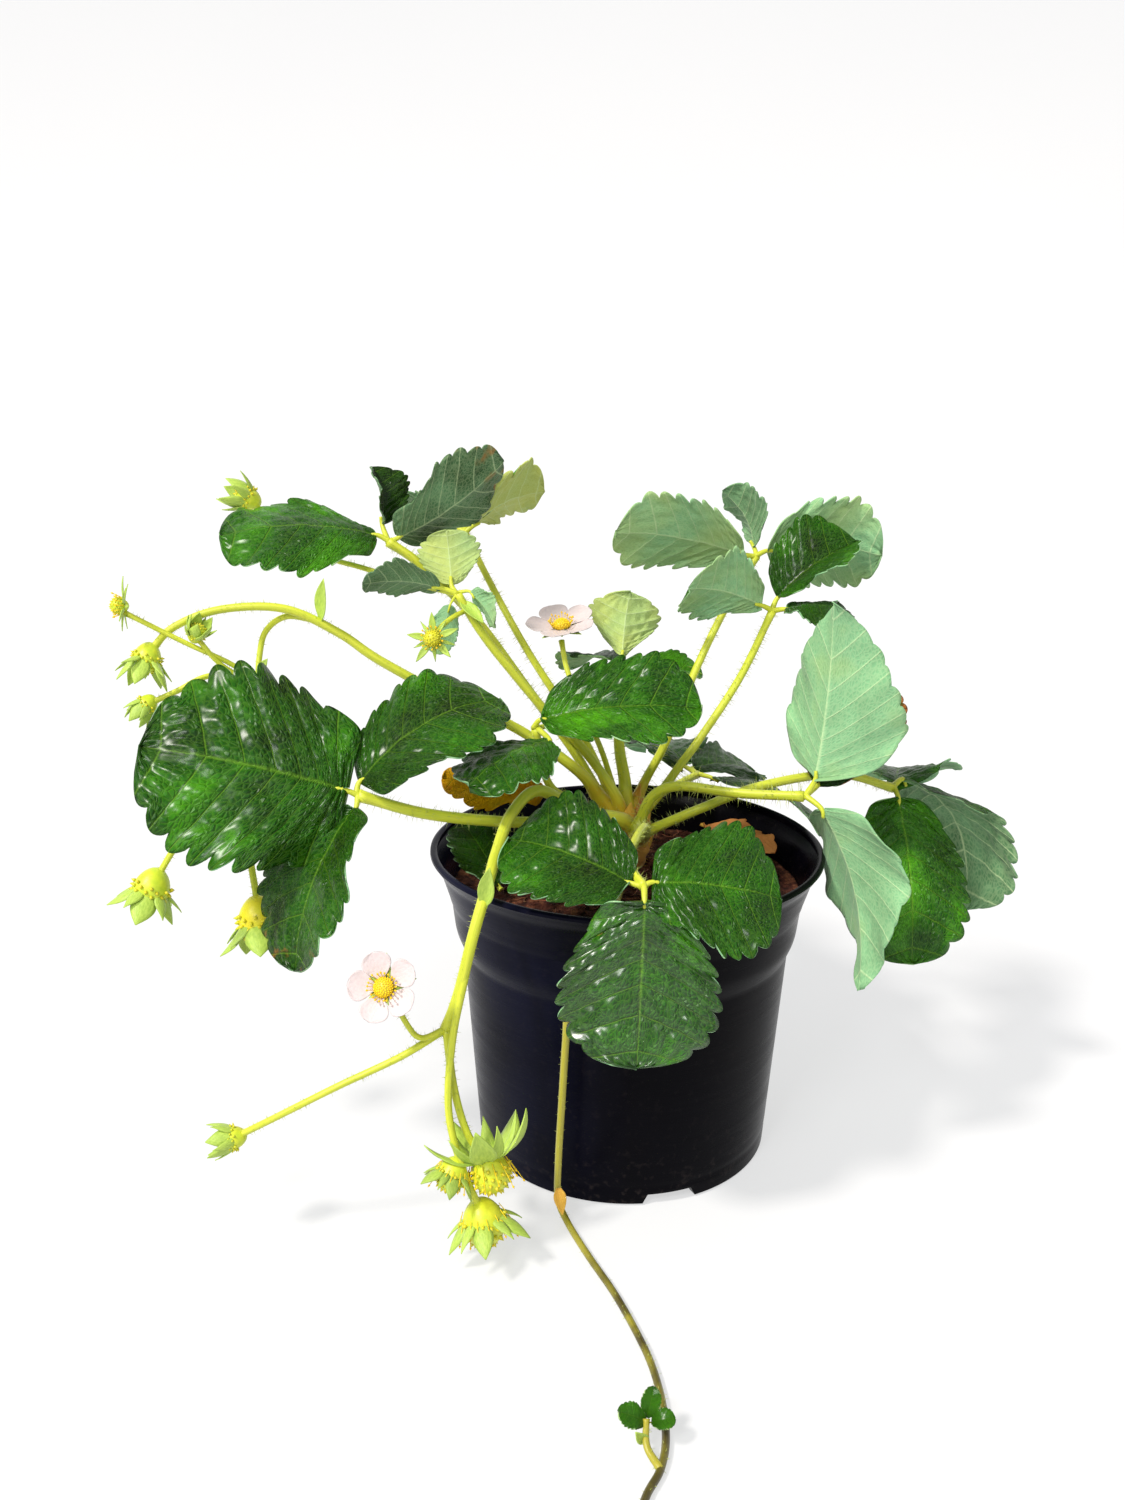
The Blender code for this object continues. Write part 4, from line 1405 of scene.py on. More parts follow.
@dataclass(frozen=True)
class Stem:
    """One stem through its route's points, thinning from one radius to the other; flush reddens its foot. A
    stem that starts beside the crown is carried on into it."""

    route: tuple
    radius: float
    end_radius: float
    flush: float = 0.75
    end_flush: float = 0.0
    hair: float = 1.9

    def rooted(self) -> tuple:
        """The route carried on into the crown.

        Returns:
            The route, with one more point inside the crown where it starts beside the crown.
        """
        start = np.array(self.route[0], float)
        middle = np.array([*Crown.centre, start[2]])
        if np.linalg.norm(start - middle) > 16.0:
            return self.route
        foot = middle + (start - middle) * 0.35
        foot[2] = min(start[2] - 5.0, Crown.top - 3.0)
        return (tuple(foot), *self.route)

    def patches(self, rng: np.random.Generator, hairs: float = 3.6, scale: float = 1.0,
                steps: int = 9) -> list[Patch]:
        """The stem, slightly ridged, swollen at both ends and most where it leaves the crown, and its hairs.

        Args:
            rng: The source of the hairs' places.
            hairs: Hairs to a millimetre.
            scale: Their length over the stem's own hair length.
            steps: Points to a stretch of the route.

        Returns:
            The tube and the hairs.
        """
        path = along_route(self.rooted(), steps)
        share = np.linspace(0.0, 1.0, len(path))
        radii = self.radius + (self.end_radius - self.radius) * share
        swollen = 0.1 if self.rooted() is self.route else 0.8
        swelling = swollen * np.exp(-((share / 0.13) ** 2))
        radii = radii * (1.0 + 0.2 * np.exp(-(((1.0 - share) / 0.03) ** 2)) + swelling)
        angles = np.linspace(0.0, FULL_TURN, 12, endpoint=False)
        ridged = radii[:, None] * (1.0 + 0.05 * np.cos(3.0 * angles))[None]
        at_end = self.end_flush * eased(share, 0.48, 0.7)
        flushed = self.flush * (1.0 - eased(share, 0.03, 0.35)) + 0.08 + at_end
        return [tube(path, ridged, 12, shade=flushed),
                bristles(path, radii, hairs, self.hair * scale, rng, 1)]


@dataclass
class Leaves:
    """All the leaf stalks and leaflets. A leaflet whose base is within reach of a stalk's end grows from
    there."""

    stalks: dict[str, Stem]
    leaflets: tuple[Leaflet, ...]
    reach: float = 9.5

    def build(self) -> None:
        """Makes each stalk and each leaflet as its own piece."""
        for number, (name, stem) in enumerate(self.stalks.items()):
            rng = np.random.default_rng(100 + number)
            piece = Piece(name + "_stalk", (StemSkin(), Bristle()), "stem", name)
            for patch in stem.patches(rng):
                piece.add(patch)
            piece.build()
        ends = np.array([stem.route[-1] for stem in self.stalks.values()] + list(BRACT_JOINTS), float)
        for number, leaflet in enumerate(self.leaflets):
            apart = np.linalg.norm(ends - np.array(leaflet.base, float), axis=1)
            nearest = int(np.argmin(apart))
            leaflet.build(200 + number, tuple(ends[nearest]) if apart[nearest] < self.reach else None)


# ---------------------------------------------------------------- flowers, buds and fruits


class Stage(Enum):
    """How far a flower has come: its sepals' starting angle, how far they turn, their length and width over
    the radius, how far up the receptacle they start, and the receptacle's own size over the radius."""

    BUD = (1.1, 0.6, 1.7, 0.95, -0.3, 0.7)
    SPENT = (0.95, 0.15, 1.9, 1.05, 0.0, 0.85)
    STAR = (0.2, -0.2, 1.7, 0.55, -0.6, 0.6)
    FRUIT = (0.85, 0.1, 1.4, 1.1, 0.1, 0.8)
    SKIRT = (0.6, 0.5, 1.5, 0.85, -0.3, 0.9)
    LIFTED = (-0.4, -0.6, 2.7, 1.3, -0.6, 0.95)


@dataclass(frozen=True)
class Head:
    """A bud, spent flower or young fruit on its stem: faces is the way that its apex points."""

    centre: tuple
    radius: float
    faces: tuple
    stage: Stage
    ripeness: float = 0.3
    flush: float = 0.1

    def patches(self, seed: int) -> list[Patch]:
        """The receptacle with its seeds, five sepals, five narrower bractlets between them, and dry stamens.

        Finish numbers are 0 stem, 1 bristle, 2 sepal, 3 fruit, 4 pollen.

        Args:
            seed: Sets the small turns that keep the sepals from matching.

        Returns:
            The patches.
        """
        rng = np.random.default_rng(seed)
        axis = unit(self.faces)
        centre = np.array(self.centre, float)
        side = unit(np.cross(axis, (0.3, 0.2, 1.0) if abs(axis[2]) < 0.9 else (0.2, 1.0, 0.1)))
        ahead = np.cross(axis, side)
        lift, bend, reach, breadth, start, share_of_radius = self.stage.value
        size = self.radius
        body = share_of_radius * size
        share = np.linspace(0.0, math.pi, 16)
        outline = np.stack([body * np.sin(share) * (1.0 - 0.14 * np.cos(share)),
                            -1.15 * body * np.cos(share)], axis=-1)
        made = [turned(centre, axis, outline, 20, coat=3, shade=self.ripeness)]
        made.append(self.seeds(centre, axis, side, ahead, body))
        foot = centre + axis * body * start
        for number in range(10):
            angle = FULL_TURN * number / 10.0 + rng.normal(0.0, 0.07)
            outward = round_axis(side, ahead, angle)
            broad = number % 2 == 0
            tilt = lift + rng.normal(0.0, 0.1) - (0.0 if broad else 0.25)
            made.append(lobe(
                foot + outward * body * 0.8 * math.sqrt(1.0 - start**2), outward, axis,
                size * reach * (1.0 if broad else 0.8) * (1.0 + 0.15 * rng.random()),
                size * breadth * (1.0 if broad else 0.55), tilt, bend + rng.normal(0.0, 0.15),
                0.22 if broad else 0.0, (2, 2), 0.28, cup=0.3, rows=12, shade=self.flush + 0.3 * rng.random(),
            ))
        if self.stage in (Stage.STAR, Stage.SKIRT, Stage.LIFTED):
            ring = centre - axis * body * 0.5
            made += stamens(ring, axis, side, ahead, body * 0.95, body, 14, rng, 4)
        return made

    def seeds(
        self, centre: np.ndarray, axis: np.ndarray, side: np.ndarray, ahead: np.ndarray, body: float
    ) -> Patch:
        """Small pointed seeds over the receptacle in a golden-angle spiral, each a stretched eight-faced
        bead.

        Args:
            centre: The receptacle's middle.
            axis: The way that its apex points.
            side: A direction across it.
            ahead: The other direction across it.
            body: Its radius.

        Returns:
            All the seeds.
        """
        count = 60
        number = np.arange(count) + 0.5
        height = 1.0 - 1.25 * number / count
        across = np.sqrt(1.0 - height**2)
        angle = number * GOLDEN_ANGLE
        outward = side[None] * (across * np.cos(angle))[:, None]
        outward = outward + ahead[None] * (across * np.sin(angle))[:, None]
        outward = outward + axis[None] * height[:, None]
        place = centre + outward * body * (1.02 + 0.12 * np.abs(height))[:, None]
        return beads(place, outward, 0.11 * body + 0.12, 3)


def beads(places: np.ndarray, outward: np.ndarray, size: float, coat: int, shade: float = 0.9) -> Patch:
    """Eight-faced beads, each stretched along its own outward direction.

    Args:
        places: Their centres.
        outward: The way each points.
        size: Their radius.
        coat: Finish number.
        shade: One shade for all.

    Returns:
        All the beads.
    """
    along = unit(outward)
    first = unit(np.cross(along, (0.31, 0.83, 0.46)))
    second = np.cross(along, first)
    corners = np.stack([first, second, -first, -second, along * 1.6, -along], axis=1) * size
    points = (places[:, None] + corners).reshape(-1, 3)
    return Patch(points, np.zeros((0, 4), int), octahedra(len(places)), shade=shade, coats=coat)


def stamens(
    centre: np.ndarray, axis: np.ndarray, side: np.ndarray, ahead: np.ndarray, ring: float, length: float,
    count: int, rng: np.random.Generator, coat: int,
) -> list[Patch]:
    """A ring of stamens: thin filaments that lean out and a bead at the end of each.

    Args:
        centre: The middle of the ring.
        axis: The flower's axis.
        side: A direction across it.
        ahead: The other direction across it.
        ring: The ring's radius.
        length: A stamen's length.
        count: How many.
        rng: The source of small differences.
        coat: Finish number.

    Returns:
        The filaments and the anthers.
    """
    made, tops, ways = [], [], []
    for number in range(count):
        angle = FULL_TURN * (number + 0.3 * rng.random()) / count
        outward = round_axis(side, ahead, angle)
        reach = length * (0.75 + 0.5 * rng.random())
        t = np.linspace(0.0, 1.0, 4)[:, None]
        path = centre + outward * (ring + 0.5 * reach * t) + axis * reach * (t + 0.15 * t**2)
        made.append(tube(path, np.full(4, 0.13), 4, coat=coat, shade=0.1))
        tops.append(path[-1])
        ways.append(axis + outward * 0.5)
    made.append(beads(np.array(tops), np.array(ways), 0.42, coat, 0.45))
    return made


@dataclass(frozen=True)
class Blossom:
    """An open flower: five white petals and, on the truss, its yellow heart, stamens and sepals."""

    name: str
    centre: tuple
    faces: tuple
    radius: float
    node: str
    truss: str
    heart: float = 3.4

    def frame(self) -> tuple[np.ndarray, np.ndarray, np.ndarray, np.ndarray]:
        """The flower's own directions.

        Returns:
            The centre, the axis and two directions across it.
        """
        axis = unit(self.faces)
        side = unit(np.cross(axis, (0.0, 0.0, 1.0) if abs(axis[2]) < 0.9 else (0.0, 1.0, 0.0)))
        return np.array(self.centre, float), axis, side, np.cross(axis, side)

    def build(self) -> None:
        """Makes the petals as one piece and the heart with its stamens and sepals as another."""
        centre, axis, side, ahead = self.frame()
        rng = np.random.default_rng(len(self.name))
        petals = Piece(self.name + "_petals", (PetalSkin(),), "petal", self.node)
        for number in range(5):
            angle = FULL_TURN * number / 5.0 + rng.normal(0.0, 0.04)
            outward = round_axis(side, ahead, angle)
            base = centre + outward * self.heart * 0.75 + axis * (0.25 * (number % 2) - 0.4)
            petals.add(lobe(
                base, outward, axis, self.radius - self.heart * 0.6, self.radius * 0.86, 0.22, 0.12, 1.0,
                (0, 0), 0.22, cup=0.16, rows=22, columns=17, shade=0.1, ripple=0.012,
            ))
        petals.build()
        receptacle = UnripeFruit(name="flower_heart", green="#c3b52a", pale="#ead23a")
        heart = Piece(self.name + "_heart", (Pollen(), Sepal(), receptacle), "petal", self.truss)
        share = np.linspace(0.0, math.pi, 14)
        outline = np.stack([self.heart * 0.8 * np.sin(share), 0.5 - 2.0 * np.cos(share)], axis=-1)
        heart.add(turned(centre, axis, outline, 24, coat=2, shade=0.2))
        number = np.arange(90) + 0.5
        height = 1.0 - number / 90.0
        across = np.sqrt(1.0 - height**2) * self.heart * 0.8
        angle = number * GOLDEN_ANGLE
        places = side[None] * (across * np.cos(angle))[:, None]
        places = places + ahead[None] * (across * np.sin(angle))[:, None]
        ways = places + axis[None] * (height * 2.0)[:, None]
        heart.add(beads(centre + axis * 0.5 + ways, ways, 0.34, 0, 0.1))
        for patch in stamens(centre, axis, side, ahead, self.heart * 0.85, 2.2, 22, rng, 0):
            heart.add(patch)
        for number in range(10):
            angle = FULL_TURN * (number + 0.5) / 10.0
            outward = round_axis(side, ahead, angle)
            broad = number % 2 == 0
            heart.add(lobe(
                centre - axis * 1.1 + outward * 1.2, outward, axis, self.radius * (0.6 if broad else 0.86),
                2.2 if broad else 3.0, 0.16, 0.14, 0.1, (1, 1), 0.26, cup=0.2, shade=0.0,
            ))
        heart.build()


@dataclass(frozen=True)
class Truss:
    """A flower truss: its stems, its heads, and the bracts and small blades at its forks as one grown piece.
    A bract is its base, the way it leaves, the way its inner face looks, its length and its width."""

    name: str
    stems: tuple[Stem, ...]
    heads: tuple[Head, ...]
    bracts: tuple[tuple, ...] = ()
    blades: tuple[Leaflet, ...] = ()

    def build(self, seed: int) -> bpy.types.Object:
        """Makes the truss as one piece in place of its CAD solid.

        Args:
            seed: Sets the hairs and the heads' small differences.

        Returns:
            The truss.
        """
        finishes = (StemSkin(), Bristle(), Sepal(), UnripeFruit(), Pollen(), Cuticle(), Underside())
        piece = Piece(self.name + "_stems", finishes, "stem", self.name)
        rng = np.random.default_rng(seed)
        for stem in self.stems:
            for patch in stem.patches(rng, 2.4, 0.6, 8):
                piece.add(patch)
        for number, head in enumerate(self.heads):
            for patch in head.patches(seed + 10 * number):
                piece.add(patch)
        for base, outward, up, length, width in self.bracts:
            outward = unit(outward)
            up = unit(np.asarray(up, float) - outward * outward.dot(np.asarray(up, float)))
            piece.add(lobe(
                np.array(base, float), outward, up, length, width, 0.1, 0.25, 0.25, (2, 2), 0.3, cup=0.4,
                rows=14, columns=9, shade=0.2,
            ))
        for number, blade in enumerate(self.blades):
            leaf, stalk = blade.patches(seed + 300 + number, self.stems[1].route[0], 5 * TEETH + 1, 25)
            leaf.coats = np.where(np.asarray(leaf.coats) == 0, 5, 6)
            stalk.coats = 0
            piece.add(leaf)
            piece.add(stalk)
        return piece.build()


@dataclass(frozen=True)
class Runner:
    """The runner over the rim and along the surface, with a bract at its joint and a young plant near its
    end."""

    stem: Stem
    shoot: Stem
    blades: tuple[Leaflet, ...]

    def build(self) -> bpy.types.Object:
        """Makes the runner as one piece in place of its CAD solid.

        Returns:
            The runner.
        """
        piece = Piece(
            "runner_stem", (Cuticle(), Underside(), RunnerSkin(), Bristle(), Sepal(), Scale()), "stem",
            "runner"
        )
        rng = np.random.default_rng(77)
        for stem, hairs in ((self.stem, 1.0), (self.shoot, 1.5)):
            tube_patch, hair_patch = stem.patches(rng, hairs, 0.4)
            tube_patch.coats, hair_patch.coats = 2, 3
            hair_patch.points[:, 2] = np.maximum(hair_patch.points[:, 2], 0.05)
            piece.add(tube_patch)
            piece.add(hair_patch)
        for number, blade in enumerate(self.blades):
            for patch in blade.patches(400 + number, None, 5 * TEETH + 1, 17):
                piece.add(patch)
        down = unit((0.15, -0.5, -0.75))
        piece.add(lobe(
            np.array([-21.9, -57.8, 12.0]), down, unit((0.0, -0.85, 0.5)), 8.0, 3.8, 0.15, 0.1, 0.1, (5, 5),
            0.3, cup=0.5, shade=0.3,
        ))
        piece.add(lobe(
            np.array([0.0, -148.0, 3.0]), unit((-0.5, -0.2, 0.8)), unit((0.2, -0.9, 0.1)), 6.0, 3.0, 0.1,
            0.2, 0.1, (4, 4), 0.3, cup=0.5, shade=0.3,
        ))
        return piece.build()


# ---------------------------------------------------------------- the plant's own sizes

# Each leaflet's shade mixes its age with painted light: low for leaflets in shadow, high for sunlit ones.
LEAFLETS = (
    # upper left leaf
    Leaflet("leaf_upper_left_side", (-81, 15, 204), (-129, 2, 205), (-0.1, -0.5, 0.9), 40, 4, -12,
            shade=0.62),
    Leaflet("leaf_upper_left_small", (-80, 19, 206), (-84, 22, 225), (0.9, -0.5, 0.1), 20, 2, 35, shade=0.2),
    Leaflet("leaf_upper_left_end", (-76, 16, 203), (-41, 26, 227), (-0.4, 0.65, 0.65), 34, -3, 10, shade=0.12,
            burn=0.55),
    # upper back leaf
    Leaflet("leaf_upper_back_right", (-53, 39, 204), (-28, 52, 215), (-0.2, 0.55, 0.8), 36, 3, 8, shade=1.0,
            teeth=1.5, widest=1.8, spread=0.5),
    Leaflet("leaf_upper_back_left", (-58, 41, 204), (-82, 62, 207), (0.2, 0.4, 0.9), 32, 3, 5, shade=0.2),
    Leaflet("leaf_upper_back_rear", (-55, 43, 206), (-48, 80, 212), (0.0, -0.1, 1.0), 34, 4, 5),
    # bract leaf on the upper truss
    Leaflet("bract_leaf_up", (-57, 6, 189), (-59, 13, 206), (0.0, 0.9, -0.3), 20, 2, 10, 2, shade=0.9,
            teeth=1.4, widest=1.6),
    Leaflet("bract_leaf_right", (-51, 3, 188), (-43, -6, 179), (0.5, 0.7, 0.5), 13, 1, 10, 2, shade=0.6),
    Leaflet("bract_leaf_left", (-60, 3, 189), (-84, -3, 191), (0.0, 0.7, 0.7), 18, 2, 5, 2, shade=0.15),
    # big left leaf
    Leaflet("leaf_left_end", (-86, -36, 134), (-145, -42, 149), (-0.05, -0.8, 0.6), 62, 5, -6, spread=0.4,
            shade=0.42, widest=1.0, heart=0.13, pleat=1.4, teeth=1.25),
    Leaflet("leaf_left_inner", (-83, -33, 135), (-41, -11, 156), (-0.5, -0.65, 0.6), 40, 8, 0, shade=0.4),
    Leaflet("leaf_left_hanging", (-83, -38, 130), (-99, -60, 86), (-0.7, -0.6, 0.3), 42, 5, 8, shade=0.35,
            burn=0.55),
    # centre leaf
    Leaflet("leaf_centre_right", (-29, -13, 150), (22, -14, 154), (0.0, -0.6, 0.8), 36, 4, 16, shade=0.58,
            teeth=1.3, pleat=1.4),
    Leaflet("leaf_centre_left", (-25, -18, 145), (-49, -41, 137), (-0.4, -0.4, 0.8), 34, 3, -10, shade=0.5,
            pleat=1.4),
    Leaflet("leaf_centre_rear", (-26, -8, 147), (-3, 12, 143), (0.1, -0.1, 1.0), 21, 3, 5, shade=0.3),
    # young leaf at the back of the centre
    Leaflet("leaf_young_up", (-1, 35, 159), (2, 46, 181), (-0.2, 0.85, -0.4), 26, 2, 12, shade=0.85,
            spread=0.6, widest=1.9, pleat=1.6),
    Leaflet("leaf_young_right", (2, 33, 157), (27, 34, 154), (0.0, -0.4, 0.9), 14, 2, 15, shade=0.8),
    Leaflet("leaf_young_rear", (-2, 36, 158), (-18, 54, 152), (-0.1, 0.2, 1.0), 26, 3, 8, shade=0.6),
    # right leaf, front one of the upper pair
    Leaflet("leaf_right_near", (45, 19, 181), (19, 9, 188), (-0.15, 0.8, 0.6), 31, 3, 6, shade=0.6, teeth=1.5,
            widest=1.5),
    Leaflet("leaf_right_folded", (49, 21, 183), (76, 27, 201), (-0.3, -0.5, 0.75), 32, 3, 30, shade=0.5),
    Leaflet("leaf_right_low", (51, 18, 180), (72, 8, 179), (0.1, -0.1, 1.0), 26, 3, -8, shade=0.4),
    # right leaf, tall rear one
    Leaflet("leaf_tall_left", (40, 34, 196), (-4, 25, 204), (-0.15, 0.75, 0.6), 34, 3, 6, shade=0.65,
            teeth=1.5, widest=1.5),
    Leaflet("leaf_tall_up", (44, 38, 197), (33, 46, 216), (0.8, 0.4, 0.4), 24, 3, 12, shade=0.35),
    Leaflet("leaf_tall_right", (47, 36, 197), (86, 33, 196), (0.1, 0.85, 0.5), 38, 4, 6, shade=0.6,
            teeth=1.4),
    # low right leaf with the long hairy stalk
    Leaflet("leaf_low_right_up", (57, -21, 131), (60, -19, 189), (0.6, 0.8, 0.05), 50, 3, 38, 7, shade=0.5,
            spread=0.85, widest=0.62, pleat=0.3, teeth=0.4),
    Leaflet("leaf_low_right_hanging", (58, -25, 127), (71, -40, 71), (0.9, 0.4, 0.2), 46, 6, 12, 6, shade=0.5,
            spread=0.85, widest=0.62, pleat=0.3, teeth=0.3, burn=0.45),
    Leaflet("leaf_low_right_scorched", (59, -15, 129), (84, 10, 156), (-0.1, -0.6, 0.6), 28, 3, 10, 4,
            shade=0.35, burn=1.0),
    # far right leaf
    Leaflet("leaf_far_right_front", (91, 7, 119), (94, -15, 68), (0.1, -0.85, 0.4), 40, 5, -5, shade=0.6,
            pleat=1.8, teeth=1.4, heart=0.08),
    Leaflet("leaf_far_right_end", (93, 13, 123), (122, 22, 71), (0.6, 0.5, 0.6), 49, 14, -5, shade=0.24,
            pleat=1.2),
    Leaflet("leaf_far_right_rear", (92, 15, 121), (106, 60, 108), (0.0, 0.2, 1.0), 42, 5, 5),
    # back leaf behind the rim
    Leaflet("leaf_back_right", (26, 52, 115), (52, 68, 108), (0.1, -0.2, 1.0), 28, 3, 6, shade=0.2),
    Leaflet("leaf_back_over_rim", (32, 43, 114), (80, 28, 88), (0.5, 0.1, 0.8), 28, 9, -5, shade=0.25),
    Leaflet("leaf_back_rear", (24, 53, 115), (12, 92, 111), (0.0, 0.2, 1.0), 34, 5, 5),
    # front leaf over the rim
    Leaflet("leaf_front_left", (-1, -60, 114), (-37, -43, 121), (-0.1, -0.55, 0.8), 38, 4, 6, shade=0.4,
            heart=0.07),
    Leaflet("leaf_front_right", (4, -61, 115), (42, -57, 108), (0.05, -0.65, 0.7), 41, 4, 0, shade=0.45,
            heart=0.1),
    Leaflet("leaf_front_hanging", (2, -67, 112), (0, -79, 66), (0.0, -0.95, 0.25), 46, 0, -6, spread=0.38,
            shade=0.5, widest=1.35, pleat=1.7, burn=0.4, heart=0.1, glossy=True),
    # small and old leaves by the soil
    Leaflet("leaf_inside_left_rim", (-41, -22, 97), (-54, -10, 115), (0.6, -0.7, 0.4), 22, 2, 5, shade=0.25),
    Leaflet("old_leaf_yellow", (-27, 3, 120), (-61, 1, 126), (0.0, -0.6, 0.8), 18, 2, -5, 3, Age.YELLOW,
            burn=0.5),
    Leaflet("old_leaf_withered", (29, 34, 99), (51, 11, 97), (0.2, -0.2, 1.0), 14, 2, 10, 3, Age.WITHERED,
            burn=0.6),
)

BRACT_JOINTS = ((-55, 3, 187),)

PETIOLES = {
    "petiole_upper_left": Stem(
        ((-9, 13, 118), (-18, 10, 134), (-32, 11, 153), (-50, 14, 177), (-67, 15, 194), (-78, 15, 202)), 1.6,
        1.5
    ),
    "petiole_upper_back": Stem(
        ((-6, 20, 117), (-14, 22, 134), (-32, 24, 162), (-44, 31, 182), (-55, 39, 202)), 1.5, 1.1
    ),
    "petiole_left": Stem(
        ((-10, 7, 107), (-24, -8, 114), (-42, -18, 118), (-64, -28, 124), (-83, -35, 132)), 2.0, 1.7
    ),
    "petiole_centre": Stem(((-8, 5, 113), (-17, -2, 119), (-26, -8, 128), (-30, -12, 147)), 1.5, 1.2),
    "petiole_young": Stem(((0, 18, 120), (-2, 20, 132), (-2, 27, 146), (1, 34, 157)), 2.4, 1.3, 0.4),
    "petiole_right": Stem(
        ((11, 10, 118), (18, 11, 128), (25, 14, 137), (38, 18, 157), (48, 20, 179)), 1.6, 1.2
    ),
    "petiole_tall": Stem(((7, 19, 120), (14, 20, 134), (24, 26, 158), (34, 32, 178), (44, 35, 195)), 1.6,
                         1.2),
    "petiole_low_right": Stem(
        ((4, 1, 111), (8, -4, 122), (16, -8, 127), (34, -15, 127), (54, -21, 128)), 1.9, 1.5, 0.3, hair=3.2
    ),
    "petiole_far_right": Stem(
        ((10, 3, 109), (24, -1, 117), (44, 2, 124), (70, 6, 127), (90, 10, 121)), 1.7, 1.4, 0.4
    ),
    "petiole_back": Stem(((7, 21, 110), (15, 30, 113), (28, 47, 114)), 1.5, 1.3),
    "petiole_front": Stem(((6, -1, 107), (5, -14, 115), (1, -34, 118), (-2, -50, 117), (2, -62, 114)), 1.5,
                          1.3),
}

TRUSSES = (
    Truss(
        "truss_upper_left",
        (
            Stem(((-9, 7, 118), (-16, 1, 129), (-36, 2, 143), (-60, 0, 155), (-80, -3, 167), (-92, -5, 176),
                  (-108, -8, 184), (-127, -10, 184), (-141, -13, 179), (-148, -15, 172)), 1.9, 1.1),
            Stem(((-98, -6, 180), (-108, -5, 181), (-115, -4, 176), (-117, -6, 168), (-117, -10, 160)), 1.0,
                 0.9, 0.0),
            Stem(((-117, -10, 160), (-124, -12, 167), (-137, -14, 174), (-155, -16, 184)), 0.8, 0.8, 0.0),
            Stem(((-117, -10, 160), (-127, -13, 167), (-134, -14, 176)), 0.8, 0.8, 0.0),
            Stem(((-117, -10, 160), (-130, -14, 164), (-140, -18, 160), (-147, -20, 157)), 0.9, 0.9, 0.0),
            Stem(((-117, -10, 160), (-122, -12, 144), (-136, -22, 122), (-148, -30, 102)), 0.9, 1.0, 0.0),
            Stem(((-117, -10, 160), (-117, -14, 140), (-119, -26, 118), (-115, -35, 94)), 0.9, 1.1, 0.0),
        ),
        (
            Head((-149, -16, 170), 5.0, (-0.25, -0.3, -0.9), Stage.SPENT),
            Head((-149, -20, 156), 4.5, (-0.6, -0.3, -0.7), Stage.BUD),
            Head((-156, -16, 186), 4.0, (-0.9, -0.35, 0.1), Stage.STAR),
            Head((-134, -14, 177), 4.0, (0.4, -0.3, 0.8), Stage.BUD),
            Head((-149, -30, 100), 7.0, (-0.35, -0.2, -0.9), Stage.FRUIT, 0.25),
            Head((-115, -35, 92), 8.0, (0.1, -0.25, -0.95), Stage.FRUIT, 1.0, 0.3),
        ),
        (
            ((-97, -6, 180), (0.3, -0.2, 0.9), (-0.6, -0.7, 0.2), 15, 6),
            ((-117, -10, 161), (0.5, -0.4, 0.6), (-0.5, -0.7, 0.3), 13, 5),
        ),
    ),
    Truss(
        "truss_upper",
        (
            Stem(((-4, 6, 120), (-14, 8, 134), (-26, 6, 147), (-38, 4, 162), (-47, 3, 174), (-55, 3, 187)),
                 1.7, 1.3),
            Stem(((-55, 3, 187), (-70, 7, 190), (-86, 11, 194), (-102, 22, 197), (-116, 30, 206),
                  (-124, 30, 212)),
                 0.9, 0.8, 0.0),
            Stem(((-52, 3, 182), (-57, -3, 180), (-62, -8, 176)), 0.8, 0.8, 0.0),
        ),
        (
            Head((-126, 30, 214), 5.6, (-0.85, -0.1, 0.45), Stage.BUD),
            Head((-62, -9, 175), 4.0, (-0.1, -0.95, 0.25), Stage.STAR, 0.9, 0.15),
        ),
        (((-54, 3, 185), (0.6, -0.5, -0.7), (0.4, -0.6, 0.6), 12, 5),),
        (Leaflet("", (-57, 1, 184), (-62, -3, 169), (0.2, 0.9, 0.3), 10, 1, 12, 1, shade=0.5),),
    ),
    Truss(
        "truss_back",
        (Stem(((-5, 15, 122), (-9, 15, 134), (-15, 18, 146), (-20, 24, 158), (-22, 29, 167)), 1.0, 0.9),),
        (),
    ),
    Truss(
        "truss_front",
        (
            Stem(((-2, 1, 112), (-16, -9, 119), (-29, -20, 129), (-37, -31, 125), (-41, -43, 117),
                  (-43, -52, 111),
                  (-47, -60, 98), (-51, -63, 82), (-55, -64, 70)), 2.0, 1.6, 0.4),
            Stem(((-55, -64, 70), (-68, -66, 62), (-87, -68, 53), (-105, -70, 44), (-116, -70, 38)), 1.1, 1.0,
                 0.0),
            Stem(((-55, -64, 70), (-62, -68, 69), (-66, -70, 75), (-70, -72, 86)), 0.9, 0.8, 0.0),
            Stem(((-55, -64, 70), (-53, -68, 54), (-49, -71, 40), (-43, -73, 31)), 1.2, 1.1, 0.0),
            Stem(((-49, -62, 88), (-53, -68, 68), (-54, -73, 48), (-50, -77, 32), (-45, -77, 18)), 1.1, 1.1,
                 0.0),
        ),
        (
            Head((-118, -70, 37), 5.0, (-0.95, -0.2, -0.15), Stage.BUD, 0.6, 0.2),
            Head((-42, -74, 29), 6.0, (0.25, -0.35, -0.9), Stage.LIFTED, 0.4, 0.0),
            Head((-44, -77, 14), 7.0, (0.2, -0.15, -0.95), Stage.SKIRT, 0.4),
            Head((-53, -77, 30), 5.0, (-0.35, -0.25, -0.9), Stage.SKIRT, 0.3, 0.4),
        ),
        (((-44, -56, 105), (0.2, -0.2, 1.0), (-0.2, -0.9, 0.1), 16, 5),),
    ),
)

